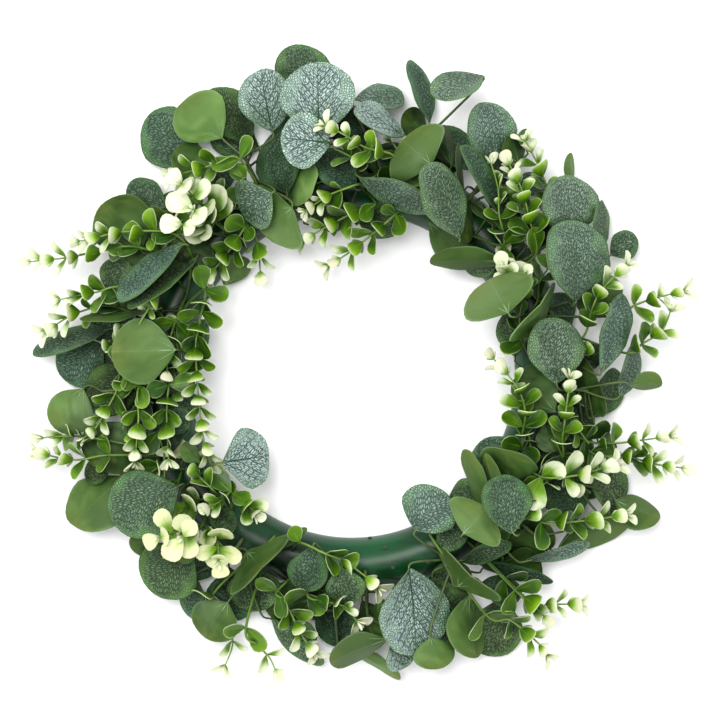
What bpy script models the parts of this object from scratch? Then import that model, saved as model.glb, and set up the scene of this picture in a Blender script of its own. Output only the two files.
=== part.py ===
"""An artificial eucalyptus wreath that lies on its back.

A moulded ring stands on its two rims. Sprays of large round leaves and sprigs of small
paired leaves are plugged into holes in its half-round face. Lengths are in millimetres
until the last step, which makes metres of them. Places in plan were read off a photo
taken from straight above, so the tables hold them in its pixels and plan() turns them
into millimetres round the ring's centre.
"""

import math
from itertools import product
from typing import NamedTuple

import bmesh
import bpy
from mathutils import Vector
from mathutils.bvhtree import BVHTree

# Driving dimensions
METRES_PER_MM = 0.001
RING_MIDDLE_RADIUS = 148.0
RING_WIDTH = 42.0
RING_HEIGHT = 24.0
RING_WALL = 2.4
RING_STEPS = 48
RING_ARC_STEPS = 6
RING_CENTRE = Vector((-3.908, -10.287, 0.0))

# The photo's scale, and where the ring's centre lies in it
MM_PER_PX = 0.77
RING_CENTRE_X_PX = 352.0
RING_CENTRE_Y_PX = 375.0

# Square pegs and their holes, one in the middle of a flat facet of the ring's face
PEG_SIDES = 4
PEG_FOOT = 13.0
PEG_RISE = 3.0
HOLE_GAP = 0.5
HOLE_REACH = 1.0
STEM_SUNK = 1.5
FACET_OFFSET = RING_WIDTH / 8
SPRAY_PEG_RADIUS_IN_PLAN = RING_MIDDLE_RADIUS + FACET_OFFSET
SPRIG_PEG_RADIUS_IN_PLAN = RING_MIDDLE_RADIUS - FACET_OFFSET
FACET_SHIFTS = (0, 1, -1, 2, -2)

# Large leaves
SPRAY_SECTOR = 15.0
SPRAY_STEM_RADIUS = 1.8
SPRAY_STEM_HEIGHT = 33.0
SPRAY_STEM_LEAST_RADIUS_IN_PLAN = RING_MIDDLE_RADIUS + 4
SPRAY_STEM_MOST_RADIUS_IN_PLAN = 205.0
SPRAY_STEM_DROOP = 1.0
STALK_RADIUS = 1.0
STALK_SIDES = 3
STALK_KNEE = 7.0
STALK_FREE = 3.0
SHARPEST = 0.0
LEAF_THICKNESS = 0.8
LEAF_WIDEST_SHARE = 0.95
LEAF_MOST_ROLL = 50.0
LEAF_CUP = 0.16
LEAF_ROWS = ((0.27, 0.44), (0.7, 0.46))
LEAF_TIP_HALF = 0.2

# Small leaves
SPRIG_STEM_RADIUS = 1.2
PAIR_STEP = 29.0
PAIR_THICKNESS = 0.7
PAIR_NECK = 1.4
PAIR_ROOT_OPENING = 58.0
QUARTER_TURN = 90.0
PAIR_ROOT_LENGTH = 17.0
PAIR_TIP_LENGTH_AND_OPENING = (12.5, 40.0)
ROSETTE_TIP_LENGTH_AND_OPENING = (17.0, 66.0)
PAIR_WIDTH_SHARE = 0.9
PAIR_WIDEST_AT = 0.58
PAIR_CUP = 0.14
LEAST_PAIRS = 2
STEEP = 0.2
FACING = 0.8

# Room kept between pieces, and the heights that bound them
CLEARANCE = 0.35
LOWEST_POINT = 1.5
HIGHEST_POINT = 94.0

# The search for room: how far a piece may be moved or turned, and the cost of each unit
LIFTS = (2, 4, 6, 8, 10, 13, 16, 20, 25, 30)
LIFT_COST = 1.0
TILTS = (8, 16, 24, 34)
TILT_COST = 0.6
ROLLS = (10, 20, 35)
ROLL_COST = 0.3
SWINGS = (10, 20)
SWING_COST = 1.6
PAIR_TURNS = (15, 30, 45)
PAIR_TURN_COST = 1.0
BACKWARD_COST = 1.05

# Choices of (value, cost) for a stem's rise, a pair's opening and a pair's scale
STEM_RISES = ((0.0, 0.0), (4.0, 5.0), (9.0, 9.0))
PAIR_OPENINGS = ((0.0, 0.0), (-14.0, 12.0), (14.0, 14.0), (-24.0, 30.0))
PAIR_SCALES = ((1.0, 0.0), (0.85, 35.0), (0.7, 70.0))

# A stalk's sideways bows at its knee, and the shares along a stem where it may start
STALK_BOWS = ((0, 0), (0, 4), (0, -4), (4, 0), (-4, 0), (0, 9), (0, -9), (9, 0), (-9, 0))
STALK_STARTS = (0.1, 0.28, 0.46, 0.64, 0.82, 0.97)
STALK_TRIES = 4

# Finishes: name, colour and roughness
RING_FINISH = ("ring_plastic", (0.01, 0.085, 0.05), 0.25)
LEAF_FINISH = ("leaf_green", (0.12, 0.24, 0.13), 0.5)
SPRIG_FINISH = ("sprig_green", (0.25, 0.42, 0.06), 0.35)
CREAM_FINISH = ("sprig_cream", (0.78, 0.78, 0.55), 0.35)
CREAM_SPRIGS = ("white_rosettes", "cream_rosettes", "right_white", "hole_white")


class Leaf(NamedTuple):
    """A large leaf: which face shows, its base and tip, how wide it looks, and its pose."""

    face: str
    base_x_px: float
    base_y_px: float
    tip_x_px: float
    tip_y_px: float
    width_px: float
    height: float
    dip: float


FRONT = "netted front"
DARK = "dark netted front"
BACK = "plain back"

LEAVES = (
    Leaf(DARK, 190, 172, 150, 108, 60, 12, -5),
    Leaf(DARK, 258, 146, 207, 135, 42, 13, 0),
    Leaf(BACK, 210, 172, 172, 152, 40, 22, 10),
    Leaf(DARK, 250, 142, 212, 87, 45, 25, 10),
    Leaf(BACK, 222, 138, 182, 100, 60, 34, 15),
    Leaf(DARK, 288, 195, 262, 132, 50, 27, -12),
    Leaf(FRONT, 273, 133, 258, 73, 55, 38, 12),
    Leaf(FRONT, 272, 195, 240, 215, 55, 40, -35),
    Leaf(BACK, 293, 209, 264, 222, 76, 46, -58),
    Leaf(BACK, 300, 150, 303, 208, 30, 44, 10),
    Leaf(DARK, 312, 105, 298, 41, 57, 20, 0),
    Leaf(FRONT, 330, 145, 284, 140, 58, 44, 15),
    Leaf(FRONT, 319, 140, 318, 64, 75, 56, 0),
    Leaf(DARK, 355, 190, 322, 150, 50, 34, 0),
    Leaf(FRONT, 355, 98, 404, 92, 30, 20, 0),
    Leaf(FRONT, 405, 138, 360, 104, 35, 40, 15),
    Leaf(DARK, 430, 122, 415, 56, 25, 18, 0),
    Leaf(FRONT, 482, 76, 425, 100, 32, 28, 0),
    Leaf(DARK, 478, 170, 435, 127, 40, 24, 0),
    Leaf(BACK, 452, 165, 438, 126, 24, 30, 0),
    Leaf(FRONT, 460, 240, 428, 163, 45, 36, 10),
    Leaf(BACK, 429, 166, 406, 146, 76, 56, -55),
    Leaf(FRONT, 358, 178, 435, 215, 28, 46, 0),
    Leaf(BACK, 465, 200, 455, 142, 13, 42, 0),
    Leaf(BACK, 463, 193, 465, 242, 20, 44, -15),
    Leaf(DARK, 500, 215, 462, 140, 22, 30, 0),
    Leaf(FRONT, 492, 165, 490, 103, 50, 40, 10),
    Leaf(BACK, 520, 165, 510, 135, 25, 30, 0),
    Leaf(BACK, 527, 150, 524, 128, 14, 24, 0),
    Leaf(BACK, 573, 185, 569, 152, 12, 24, 10),
    Leaf(DARK, 612, 255, 638, 234, 30, 16, 5),
    Leaf(DARK, 598, 250, 607, 200, 24, 26, 0),
    Leaf(FRONT, 567, 240, 572, 178, 73, 40, 8),
    Leaf(FRONT, 573, 303, 580, 220, 68, 54, 0),
    Leaf(DARK, 560, 305, 530, 262, 50, 34, 0),
    Leaf(BACK, 506, 314, 490, 285, 78, 50, -55),
    Leaf(BACK, 505, 262, 430, 258, 22, 40, -8),
    Leaf(DARK, 495, 266, 468, 274, 16, 28, -15),
    Leaf(BACK, 541, 330, 540, 297, 78, 42, 50),
    Leaf(FRONT, 555, 385, 553, 318, 60, 52, 5),
    Leaf(BACK, 555, 412, 520, 370, 50, 34, 0),
    Leaf(BACK, 570, 390, 600, 375, 78, 36, 45),
    Leaf(FRONT, 601, 372, 625, 296, 32, 26, 0),
    Leaf(DARK, 595, 418, 625, 372, 30, 14, 0),
    Leaf(FRONT, 620, 397, 642, 348, 25, 16, 0),
    Leaf(BACK, 630, 385, 661, 380, 18, 12, 0),
    Leaf(DARK, 165, 205, 125, 184, 35, 14, 0),
    Leaf(BACK, 140, 250, 105, 200, 62, 22, 5),
    Leaf(DARK, 165, 240, 140, 207, 40, 16, 0),
    Leaf(BACK, 182, 243, 151, 206, 14, 34, 0),
    Leaf(DARK, 185, 245, 117, 296, 28, 40, 0),
    Leaf(DARK, 198, 258, 120, 292, 20, 32, 0),
    Leaf(BACK, 180, 240, 208, 265, 25, 40, -10),
    Leaf(BACK, 158, 310, 82, 322, 12, 36, 0),
    Leaf(DARK, 112, 328, 29, 350, 24, 22, 0),
    Leaf(DARK, 103, 345, 58, 375, 55, 16, 0),
    Leaf(BACK, 82, 388, 58, 432, 50, 12, 0),
    Leaf(DARK, 140, 370, 85, 405, 55, 28, 5),
    Leaf(BACK, 178, 350, 114, 352, 66, 34, 0),
    Leaf(BACK, 125, 422, 100, 470, 66, 24, 0),
    Leaf(DARK, 110, 465, 82, 478, 25, 14, 0),
    Leaf(BACK, 120, 476, 74, 527, 58, 18, 0),
    Leaf(DARK, 180, 485, 112, 518, 72, 32, 0),
    Leaf(DARK, 192, 548, 148, 590, 68, 30, 0),
    Leaf(BACK, 200, 545, 175, 555, 25, 36, 0),
    Leaf(FRONT, 222, 462, 271, 455, 61, 46, -10),
    Leaf(BACK, 200, 462, 182, 445, 20, 40, 0),
    Leaf(BACK, 248, 552, 268, 572, 82, 50, 45),
    Leaf(BACK, 262, 548, 308, 531, 12, 38, 0),
    Leaf(DARK, 250, 565, 255, 612, 60, 34, 15),
    Leaf(DARK, 228, 568, 232, 624, 52, 20, 0),
    Leaf(DARK, 195, 580, 188, 620, 28, 12, 0),
    Leaf(BACK, 228, 602, 204, 637, 50, 10, 0),
    Leaf(DARK, 270, 620, 320, 671, 24, 12, 0),
    Leaf(DARK, 335, 598, 340, 650, 45, 18, 0),
    Leaf(BACK, 362, 602, 382, 645, 36, 22, 0),
    Leaf(BACK, 388, 638, 328, 656, 32, 14, 0),
    Leaf(BACK, 345, 650, 404, 679, 14, 8, 0),
    Leaf(DARK, 313, 545, 305, 590, 42, 34, 0),
    Leaf(DARK, 342, 566, 348, 602, 40, 28, 0),
    Leaf(FRONT, 395, 632, 407, 672, 42, 14, 0),
    Leaf(BACK, 430, 636, 438, 668, 45, 10, 0),
    Leaf(BACK, 380, 597, 390, 640, 36, 30, 0),
    Leaf(DARK, 432, 578, 458, 645, 60, 28, 0),
    Leaf(FRONT, 408, 568, 422, 653, 70, 44, 0),
    Leaf(BACK, 470, 596, 468, 658, 40, 20, 0),
    Leaf(DARK, 500, 600, 497, 660, 56, 12, 0),
    Leaf(BACK, 458, 586, 476, 566, 80, 48, 50),
    Leaf(FRONT, 415, 531, 440, 492, 58, 46, 20),
    Leaf(BACK, 462, 532, 484, 510, 66, 44, -45),
    Leaf(BACK, 490, 526, 466, 448, 18, 42, 0),
    Leaf(DARK, 502, 482, 490, 437, 50, 30, 0),
    Leaf(BACK, 508, 482, 508, 444, 60, 42, 35),
    Leaf(DARK, 510, 531, 500, 474, 52, 38, 0),
    Leaf(BACK, 506, 527, 486, 453, 14, 50, 0),
    Leaf(BACK, 500, 528, 557, 540, 36, 30, 0),
    Leaf(DARK, 458, 561, 512, 545, 22, 40, 0),
    Leaf(BACK, 498, 540, 547, 556, 30, 34, 0),
    Leaf(FRONT, 525, 562, 592, 546, 16, 22, 0),
    Leaf(BACK, 560, 550, 632, 518, 34, 14, 0),
    Leaf(BACK, 615, 500, 659, 523, 32, 12, 0),
    Leaf(DARK, 472, 562, 554, 585, 14, 26, 0),
    Leaf(DARK, 575, 522, 560, 470, 50, 26, 0),
    Leaf(DARK, 610, 517, 606, 458, 38, 20, 0),
)


class Stop(NamedTuple):
    """A point that a sprig's stem goes through: its place in the photo, and its height."""

    x_px: float
    y_px: float
    height: float


class Sprig(NamedTuple):
    """The stems that one peg carries, and the angle round the ring at which it stands."""

    name: str
    peg_angle: float
    stems: tuple


SPRIGS = (
    Sprig("upper_left", 119, (
        (Stop(240, 160, 50), Stop(215, 166, 54), Stop(172, 178, 50)),
    )),
    Sprig("white_rosettes", 133, (
        (Stop(212, 215, 46), Stop(197, 200, 66), Stop(184, 186, 78)),
        (Stop(215, 222, 44), Stop(203, 216, 62), Stop(196, 212, 74)),
        (Stop(206, 232, 42), Stop(194, 228, 60), Stop(184, 226, 70)),
    )),
    Sprig("left_top", 146, (
        (Stop(178, 236, 52), Stop(125, 233, 56), Stop(100, 238, 54), Stop(80, 242, 50)),
        (Stop(140, 248, 46), Stop(95, 253, 46), Stop(70, 258, 44), Stop(30, 262, 38)),
    )),
    Sprig("left_long", 152, (
        (Stop(190, 268, 46), Stop(165, 288, 56), Stop(145, 318, 58), Stop(135, 335, 54)),
        (Stop(176, 322, 44), Stop(170, 345, 50), Stop(168, 372, 50)),
    )),
    Sprig("hole_left", 159, (
        (Stop(205, 290, 46), Stop(200, 325, 54), Stop(197, 350, 56), Stop(200, 400, 56),
         Stop(205, 440, 52), Stop(212, 465, 46)),
    )),
    Sprig("left_tips", 167, (
        (Stop(130, 290, 46), Stop(95, 293, 46), Stop(60, 300, 44)),
        (Stop(120, 308, 38), Stop(80, 312, 40), Stop(45, 332, 36)),
    )),
    Sprig("left_fan", 175, (
        (Stop(125, 368, 44), Stop(118, 390, 46), Stop(98, 425, 42), Stop(85, 438, 38)),
        (Stop(141, 385, 50), Stop(140, 420, 54), Stop(136, 462, 50)),
    )),
    Sprig("left_inner", 184, (
        (Stop(170, 385, 50), Stop(168, 410, 54), Stop(170, 460, 52)),
        (Stop(160, 430, 42), Stop(165, 455, 46), Stop(165, 485, 48)),
    )),
    Sprig("left_low_tips", 203, (
        (Stop(110, 455, 36), Stop(75, 460, 34), Stop(36, 453, 26)),
        (Stop(105, 440, 34), Stop(70, 436, 34), Stop(42, 438, 30)),
    )),
    Sprig("cream_rosettes", 221, (
        (Stop(190, 520, 50), Stop(178, 530, 66), Stop(162, 534, 76)),
        (Stop(203, 525, 50), Stop(192, 532, 70), Stop(186, 534, 84)),
        (Stop(215, 530, 50), Stop(220, 545, 66), Stop(220, 558, 74)),
    )),
    Sprig("ring_left", 228, (
        (Stop(232, 492, 44), Stop(222, 500, 54), Stop(210, 506, 58)),
        (Stop(238, 496, 44), Stop(256, 512, 56)),
    )),
    Sprig("bottom_left_tips", 241, (
        (Stop(212, 596, 24), Stop(226, 622, 24), Stop(232, 645, 22), Stop(224, 668, 18)),
        (Stop(247, 625, 28), Stop(258, 642, 28), Stop(270, 655, 26), Stop(276, 668, 22)),
    )),
    Sprig("bottom_long", 251, (
        (Stop(300, 542, 46), Stop(325, 552, 56), Stop(345, 560, 56), Stop(365, 575, 52),
         Stop(378, 587, 48)),
    )),
    Sprig("bottom_whites", 257, (
        (Stop(278, 590, 44), Stop(285, 600, 48), Stop(303, 635, 48), Stop(315, 652, 44)),
        (Stop(307, 593, 46), Stop(325, 600, 50), Stop(345, 605, 52), Stop(357, 620, 50)),
    )),
    Sprig("bottom_right", 299, (
        (Stop(486, 615, 30), Stop(510, 620, 36), Stop(538, 643, 34), Stop(548, 656, 30)),
    )),
    Sprig("bottom_right_tips", 307, (
        (Stop(505, 578, 34), Stop(520, 592, 38), Stop(545, 617, 36)),
        (Stop(515, 590, 40), Stop(535, 604, 40), Stop(560, 604, 38), Stop(580, 604, 34)),
    )),
    Sprig("right_low", 320, (
        (Stop(540, 521, 50), Stop(565, 521, 53), Stop(588, 519, 51), Stop(626, 514, 44)),
    )),
    Sprig("right_white", 330, (
        (Stop(540, 476, 52), Stop(577, 474, 58), Stop(597, 468, 60), Stop(612, 463, 58)),
    )),
    Sprig("hole_right", 338, (
        (Stop(522, 447, 44), Stop(522, 432, 50), Stop(524, 413, 56), Stop(519, 393, 58),
         Stop(507, 375, 54), Stop(492, 358, 46)),
    )),
    Sprig("right_spread", 345, (
        (Stop(585, 440, 36), Stop(612, 443, 42), Stop(640, 440, 44), Stop(670, 436, 38)),
        (Stop(590, 452, 34), Stop(625, 456, 38), Stop(655, 464, 40), Stop(683, 468, 34)),
    )),
    Sprig("right_upright", 352, (
        (Stop(561, 455, 46), Stop(561, 437, 54), Stop(564, 410, 60), Stop(568, 378, 58)),
    )),
    Sprig("right_upper", 7, (
        (Stop(580, 340, 44), Stop(590, 310, 54), Stop(600, 290, 56), Stop(625, 265, 52)),
    )),
    Sprig("right_tips", 15, (
        (Stop(620, 352, 36), Stop(643, 343, 38), Stop(662, 330, 38), Stop(671, 310, 34)),
        (Stop(610, 316, 34), Stop(635, 305, 38), Stop(655, 298, 38), Stop(684, 291, 34)),
    )),
    Sprig("hole_white", 26, (
        (Stop(512, 288, 46), Stop(507, 276, 60), Stop(503, 269, 70)),
        (Stop(520, 284, 46), Stop(524, 275, 62)),
    )),
    Sprig("upper_right", 36, (
        (Stop(535, 255, 48), Stop(528, 220, 56), Stop(520, 190, 56), Stop(508, 165, 50)),
        (Stop(548, 215, 34), Stop(544, 180, 38), Stop(525, 140, 36)),
    )),
    Sprig("upper_right_inner", 45, (
        (Stop(503, 245, 46), Stop(498, 215, 54), Stop(497, 190, 56), Stop(490, 165, 54)),
    )),
    Sprig("top_right", 78, (
        (Stop(395, 160, 60), Stop(365, 150, 68), Stop(345, 138, 70), Stop(325, 128, 68)),
    )),
    Sprig("hole_top", 86, (
        (Stop(360, 185, 50), Stop(345, 190, 54), Stop(328, 197, 54), Stop(305, 212, 50)),
        (Stop(375, 205, 44), Stop(350, 215, 46), Stop(318, 232, 40), Stop(303, 241, 34)),
    )),
    Sprig("hole_top_right", 70, (
        (Stop(395, 215, 42), Stop(368, 238, 40), Stop(350, 252, 36), Stop(328, 266, 28)),
    )),
    Sprig("hole_upper_left", 127, (
        (Stop(245, 228, 42), Stop(230, 250, 38), Stop(208, 277, 34)),
        (Stop(252, 228, 38), Stop(258, 246, 34), Stop(260, 272, 26)),
    )),
)


class Mesh(NamedTuple):
    """Points in millimetres and faces that look outwards."""

    points: list
    faces: list


class Pose(NamedTuple):
    """Where a blade lies: its base, its three directions, its length and its width."""

    base: Vector
    along: Vector
    across: Vector
    upward: Vector
    length: float
    width: float


def plan(x_px, y_px, height=0.0):
    """A place in the photo as a point round the ring's centre."""
    x = (x_px - RING_CENTRE_X_PX) * MM_PER_PX
    y = (RING_CENTRE_Y_PX - y_px) * MM_PER_PX
    return RING_CENTRE + Vector((x, y, height))


def on_ring(radius, angle, height=0.0):
    """A point at a radius and an angle in degrees round the ring's centre."""
    turn = math.radians(angle)
    return RING_CENTRE + Vector((radius * math.cos(turn), radius * math.sin(turn), height))


def ring_radius(point):
    """How far a point is from the ring's axis."""
    return (point - RING_CENTRE).xy.length


def ring_angle(point):
    """The angle of a point round the ring's centre, from 0 to 360 degrees."""
    offset = point - RING_CENTRE
    return math.degrees(math.atan2(offset.y, offset.x)) % 360.0


def ring_top(radius):
    """The height of the ring's face at a radius."""
    share = (radius - RING_MIDDLE_RADIUS) / (RING_WIDTH / 2)
    return RING_HEIGHT * math.sqrt(max(0.0, 1.0 - share * share))


def ring_profile(grown=0.0):
    """The half-round section, out along the face and back along the channel."""
    outer = RING_WIDTH / 2 + grown
    inner = RING_WIDTH / 2 - RING_WALL - grown
    turns = [math.pi * step / RING_ARC_STEPS for step in range(RING_ARC_STEPS + 1)]
    face = [(-outer * math.cos(t), (RING_HEIGHT + grown) * math.sin(t)) for t in turns]
    channel = [
        (inner * math.cos(t), (RING_HEIGHT - RING_WALL - grown) * math.sin(t)) for t in turns
    ]
    return [(RING_MIDDLE_RADIUS + r, z) for r, z in face + channel]


def turned_ring(grown=0.0):
    """The ring's profile carried round its axis."""
    profile = ring_profile(grown)
    count = len(profile)
    points = []
    faces = []
    for step in range(RING_STEPS):
        angle = 360.0 * step / RING_STEPS
        points += [on_ring(radius, angle, z) for radius, z in profile]
        here = step * count
        there = (step + 1) % RING_STEPS * count
        for i in range(count):
            j = (i + 1) % count
            faces.append((here + i, here + j, there + j, there + i))
    return Mesh(points, faces)


def tube(path, radius, sides):
    """A closed tube along a path of points."""
    points = []
    rings = len(path)
    side = None
    for i, point in enumerate(path):
        ahead = (path[min(i + 1, rings - 1)] - path[max(i - 1, 0)]).normalized()
        if side is None:
            side = ahead.orthogonal().normalized()
        side = (side - ahead * side.dot(ahead)).normalized()
        other = ahead.cross(side)
        for k in range(sides):
            angle = 2 * math.pi * k / sides
            points.append(point + (side * math.cos(angle) + other * math.sin(angle)) * radius)
    faces = []
    for i in range(rings - 1):
        for k in range(sides):
            a = i * sides + k
            b = i * sides + (k + 1) % sides
            faces.append((a, b, b + sides, a + sides))
    faces.append(tuple(reversed(range(sides))))
    faces.append(tuple(range((rings - 1) * sides, rings * sides)))
    return Mesh(points, faces)


def leaf_size(leaf):
    """A leaf's true length and width and its roll, from how far and how wide it looks."""
    reach = (plan(leaf.tip_x_px, leaf.tip_y_px) - plan(leaf.base_x_px, leaf.base_y_px)).length
    length = reach / math.cos(math.radians(leaf.dip))
    looks = leaf.width_px * MM_PER_PX
    most = looks / math.cos(math.radians(LEAF_MOST_ROLL))
    width = max(looks, min(LEAF_WIDEST_SHARE * length, most))
    return length, width, math.acos(min(1.0, looks / width))


def leaf_pose(leaf, lift=0.0, tilt=0.0, roll_more=0.0, swing=0.0):
    """The leaf's pose. The side further from the ring's crest hangs lower."""
    length, width, roll = leaf_size(leaf)
    base = plan(leaf.base_x_px, leaf.base_y_px)
    tip = plan(leaf.tip_x_px, leaf.tip_y_px)
    reach = (tip - base).length
    heading = (tip - base).normalized()
    swung = math.radians(swing)
    heading = Vector((
        heading.x * math.cos(swung) - heading.y * math.sin(swung),
        heading.x * math.sin(swung) + heading.y * math.cos(swung),
        0.0,
    ))
    dip = math.radians(leaf.dip + tilt)
    length = min(length, reach / math.cos(dip))
    base.z = leaf.height + lift - math.sin(dip) * length / 2
    along = heading * math.cos(dip) + Vector((0.0, 0.0, math.sin(dip)))
    level = Vector((-heading.y, heading.x, 0.0))
    middle = base + heading * length / 2
    outward = (middle - RING_CENTRE).xy.to_3d()
    beyond = 1.0 if ring_radius(middle) > RING_MIDDLE_RADIUS else -1.0
    lean = -beyond if level.dot(outward) > 0 else beyond
    turn = lean * roll + math.radians(roll_more)
    width = min(width, leaf.width_px * MM_PER_PX / math.cos(turn))
    upward = along.cross(level)
    across = level * math.cos(turn) + upward * math.sin(turn)
    return Pose(base, along, across, along.cross(across), length, width)


def leaf_mesh(leaf, pose, stalk, grown=0.0):
    """A cupped round blade and its three-sided stalk in one skin.

    The cup opens to the netted front. Both faces are split into the same triangles.
    """
    cup = LEAF_CUP * (-1.0 if leaf.face == BACK else 1.0)
    length = pose.length + grown
    width = pose.width + 2 * grown
    half = LEAF_THICKNESS / 2 + grown

    def place(share, side, lift):
        rise = cup * pose.width * (side * side - share * share) + lift
        return (
            pose.base
            + pose.along * (share * length)
            + pose.across * (side * width)
            + pose.upward * rise
        )

    points = stalk_corners(stalk, pose, STALK_RADIUS + grown)
    neck = len(points) - 3
    shares = [(share, side) for share, wide in LEAF_ROWS for side in (wide, 0.0, -wide)]
    shares += [(1.0, LEAF_TIP_HALF), (1.0, -LEAF_TIP_HALF)]
    points += [place(share, side, half) for share, side in shares]
    points += [place(share, side, -half) for share, side in shares]
    faces = [(2, 1, 0)]
    for ring in range(0, neck, 3):
        for i in range(3):
            j = (i + 1) % 3
            faces.append((ring + i, ring + j, ring + j + 3, ring + i + 3))
    left_neck, right_neck, low_neck = neck, neck + 1, neck + 2
    front = neck + 3
    back = front + len(shares)
    left, middle, right, far_left, far_middle, far_right, tip_left, tip_right = range(8)
    shared = [
        (right, far_right, far_middle), (right, far_middle, middle),
        (middle, far_middle, far_left), (middle, far_left, left),
        (far_right, tip_right, far_middle), (far_middle, tip_right, tip_left),
        (far_middle, tip_left, far_left),
    ]
    faces += [(front + a, front + b, front + c) for a, b, c in shared]
    faces += [(back + c, back + b, back + a) for a, b, c in shared]
    faces += [
        (right_neck, front + right, front + middle), (right_neck, front + middle, left_neck),
        (left_neck, front + middle, front + left),
        (low_neck, back + middle, back + right), (low_neck, back + left, back + middle),
    ]
    edge = [right, far_right, tip_right, tip_left, far_left, left]
    upper = [right_neck] + [front + i for i in edge] + [left_neck]
    lower = [low_neck] + [back + i for i in edge] + [low_neck]
    for a, b, under_a, under_b in zip(upper, upper[1:], lower, lower[1:]):
        faces.append((under_a, under_b, b))
        faces.append((under_a, b, a))
    return Mesh(points, faces)


def stalk_corners(stalk, pose, radius):
    """Three corners for each section of a stalk: left and right on top, and one below.

    The sections are found from the blade back to the stem, so that the stalk never twists.
    """
    low = math.sin(math.pi / 6) * radius
    wide = math.cos(math.pi / 6) * radius
    places = [pose.base] + stalk[::-1]
    corners = []
    level = pose.across
    ahead = pose.along
    for place, before in zip(places, places[1:] + [None]):
        behind = (place - before).normalized() if before else ahead
        along = (ahead + behind).normalized() if corners else pose.along
        level = (level - along * level.dot(along)).normalized()
        upward = along.cross(level)
        corners = [place + level * wide + upward * low, place - level * wide + upward * low,
                   place - upward * radius] + corners
        ahead = behind
    return corners


class Pair(NamedTuple):
    """Two opposite small leaves: their place on the stem, its direction there, and sizes."""

    distance: float
    place: Vector
    axis: Vector
    azimuth: float
    opening: float
    length: float
    width: float

    def radial(self):
        """The level direction across the stem, turned about it by the azimuth."""
        side = Vector((-self.axis.y, self.axis.x, 0.0))
        side = side.normalized() if side.length > STEEP else self.axis.orthogonal().normalized()
        turn = math.radians(self.azimuth)
        return side * math.cos(turn) + self.axis.cross(side) * math.sin(turn)

    def leaf(self, sign):
        """The middle of one leaf's widest part, its tip and its normal."""
        spread = math.radians(self.opening)
        radial = self.radial() * sign
        along = radial * math.sin(spread) + self.axis * math.cos(spread)
        normal = self.axis * math.sin(spread) - radial * math.cos(spread)
        widest = self.place + along * (self.length * PAIR_WIDEST_AT)
        tip = self.place + along * self.length + normal * (PAIR_CUP * self.width)
        return widest, tip, normal


def pair_guard(leaves):
    """The space that a pair of small leaves needs, as one closed blade."""
    flank = leaves.axis.cross(leaves.radial())
    half = PAIR_THICKNESS / 2 + CLEARANCE
    sections = [(leaves.place, PAIR_NECK, leaves.axis)]
    for sign in (1.0, -1.0):
        widest, tip, normal = leaves.leaf(sign)
        sections += [(widest, leaves.width / 2 + CLEARANCE, normal), (tip, PAIR_NECK, normal)]
    high = [middle + flank * side + normal * half
            for middle, reach, normal in sections for side in (-reach, reach)]
    low = [middle + flank * side - normal * half
           for middle, reach, normal in sections for side in (-reach, reach)]
    quads = [(0, 2, 3, 1), (2, 4, 5, 3), (1, 7, 6, 0), (7, 9, 8, 6)]
    outline = [4, 5, 3, 1, 7, 9, 8, 6, 0, 2]
    count = len(high)
    faces = quads + [tuple(i + count for i in reversed(quad)) for quad in quads]
    for a, b in zip(outline, outline[1:] + outline[:1]):
        faces.append((a + count, b + count, b, a))
    return Mesh(high + low, faces)


class Station(NamedTuple):
    """A section of a sprig's stem, and the pair whose leaves start beside it, if any."""

    distance: float
    place: Vector
    leaves: object


def stem_stations(path, pairs):
    """The stem's sections: two close together at each pair, and one at each bend between."""
    stations = []
    travelled = 0.0
    for before, point in zip([path[0]] + path, path):
        travelled += (point - before).length
        if all(abs(travelled - leaves.distance) > PAIR_NECK for leaves in pairs):
            stations.append(Station(travelled, point, None))
    for leaves in pairs:
        for shift in (-PAIR_NECK / 2, PAIR_NECK / 2):
            place = leaves.place + leaves.axis * shift
            stations.append(Station(leaves.distance + shift, place, leaves))
    return sorted(stations, key=lambda station: station.distance)


def section_corners(stations):
    """The four corners of each section. At a pair, two of the sides face its leaves."""
    points = []
    side = None
    for i, station in enumerate(stations):
        before = stations[max(i - 1, 0)].place
        beyond = stations[min(i + 1, len(stations) - 1)].place
        axis = station.leaves.axis if station.leaves else (beyond - before).normalized()
        if station.leaves:
            radial = station.leaves.radial()
            corner = (radial - axis.cross(radial)).normalized()
            side = nearest_quarter(corner, axis, side or corner)
        side = side or axis.orthogonal()
        side = (side - axis * side.dot(axis)).normalized()
        other = axis.cross(side)
        points += [station.place + way * SPRIG_STEM_RADIUS
                   for way in (side, other, -side, -other)]
    return points


def leafy_stem(path, pairs):
    """A four-sided stem. At each pair, two opposite sides are drawn out into leaves."""
    stations = stem_stations(path, pairs)
    points = section_corners(stations)
    last = len(points) - 4
    faces = [(3, 2, 1, 0), (last, last + 1, last + 2, last + 3)]
    for i, (here, there) in enumerate(zip(stations, stations[1:])):
        leaves = here.leaves if here.leaves is there.leaves else None
        for k in range(4):
            a, b = 4 * i + k, 4 * i + (k + 1) % 4
            side = (a, b, b + 4, a + 4)
            outward = leaves and side_direction(points, side, leaves)
            if outward and abs(outward) > FACING:
                draw_out(points, faces, side, leaves, math.copysign(1.0, outward))
            else:
                faces.append(side)
    return Mesh(points, faces)


def side_direction(points, side, leaves):
    """How far a side of the stem faces one leaf of the pair (1) or the other (-1)."""
    middle = sum((points[corner] for corner in side), Vector((0, 0, 0))) / 4
    return (middle - leaves.place).normalized().dot(leaves.radial())


def nearest_quarter(corner, axis, side):
    """Whichever quarter turn of a corner direction lies nearest the last one used."""
    turned = [corner, axis.cross(corner), -corner, -axis.cross(corner)]
    return max(turned, key=lambda direction: direction.dot(side))


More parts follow.
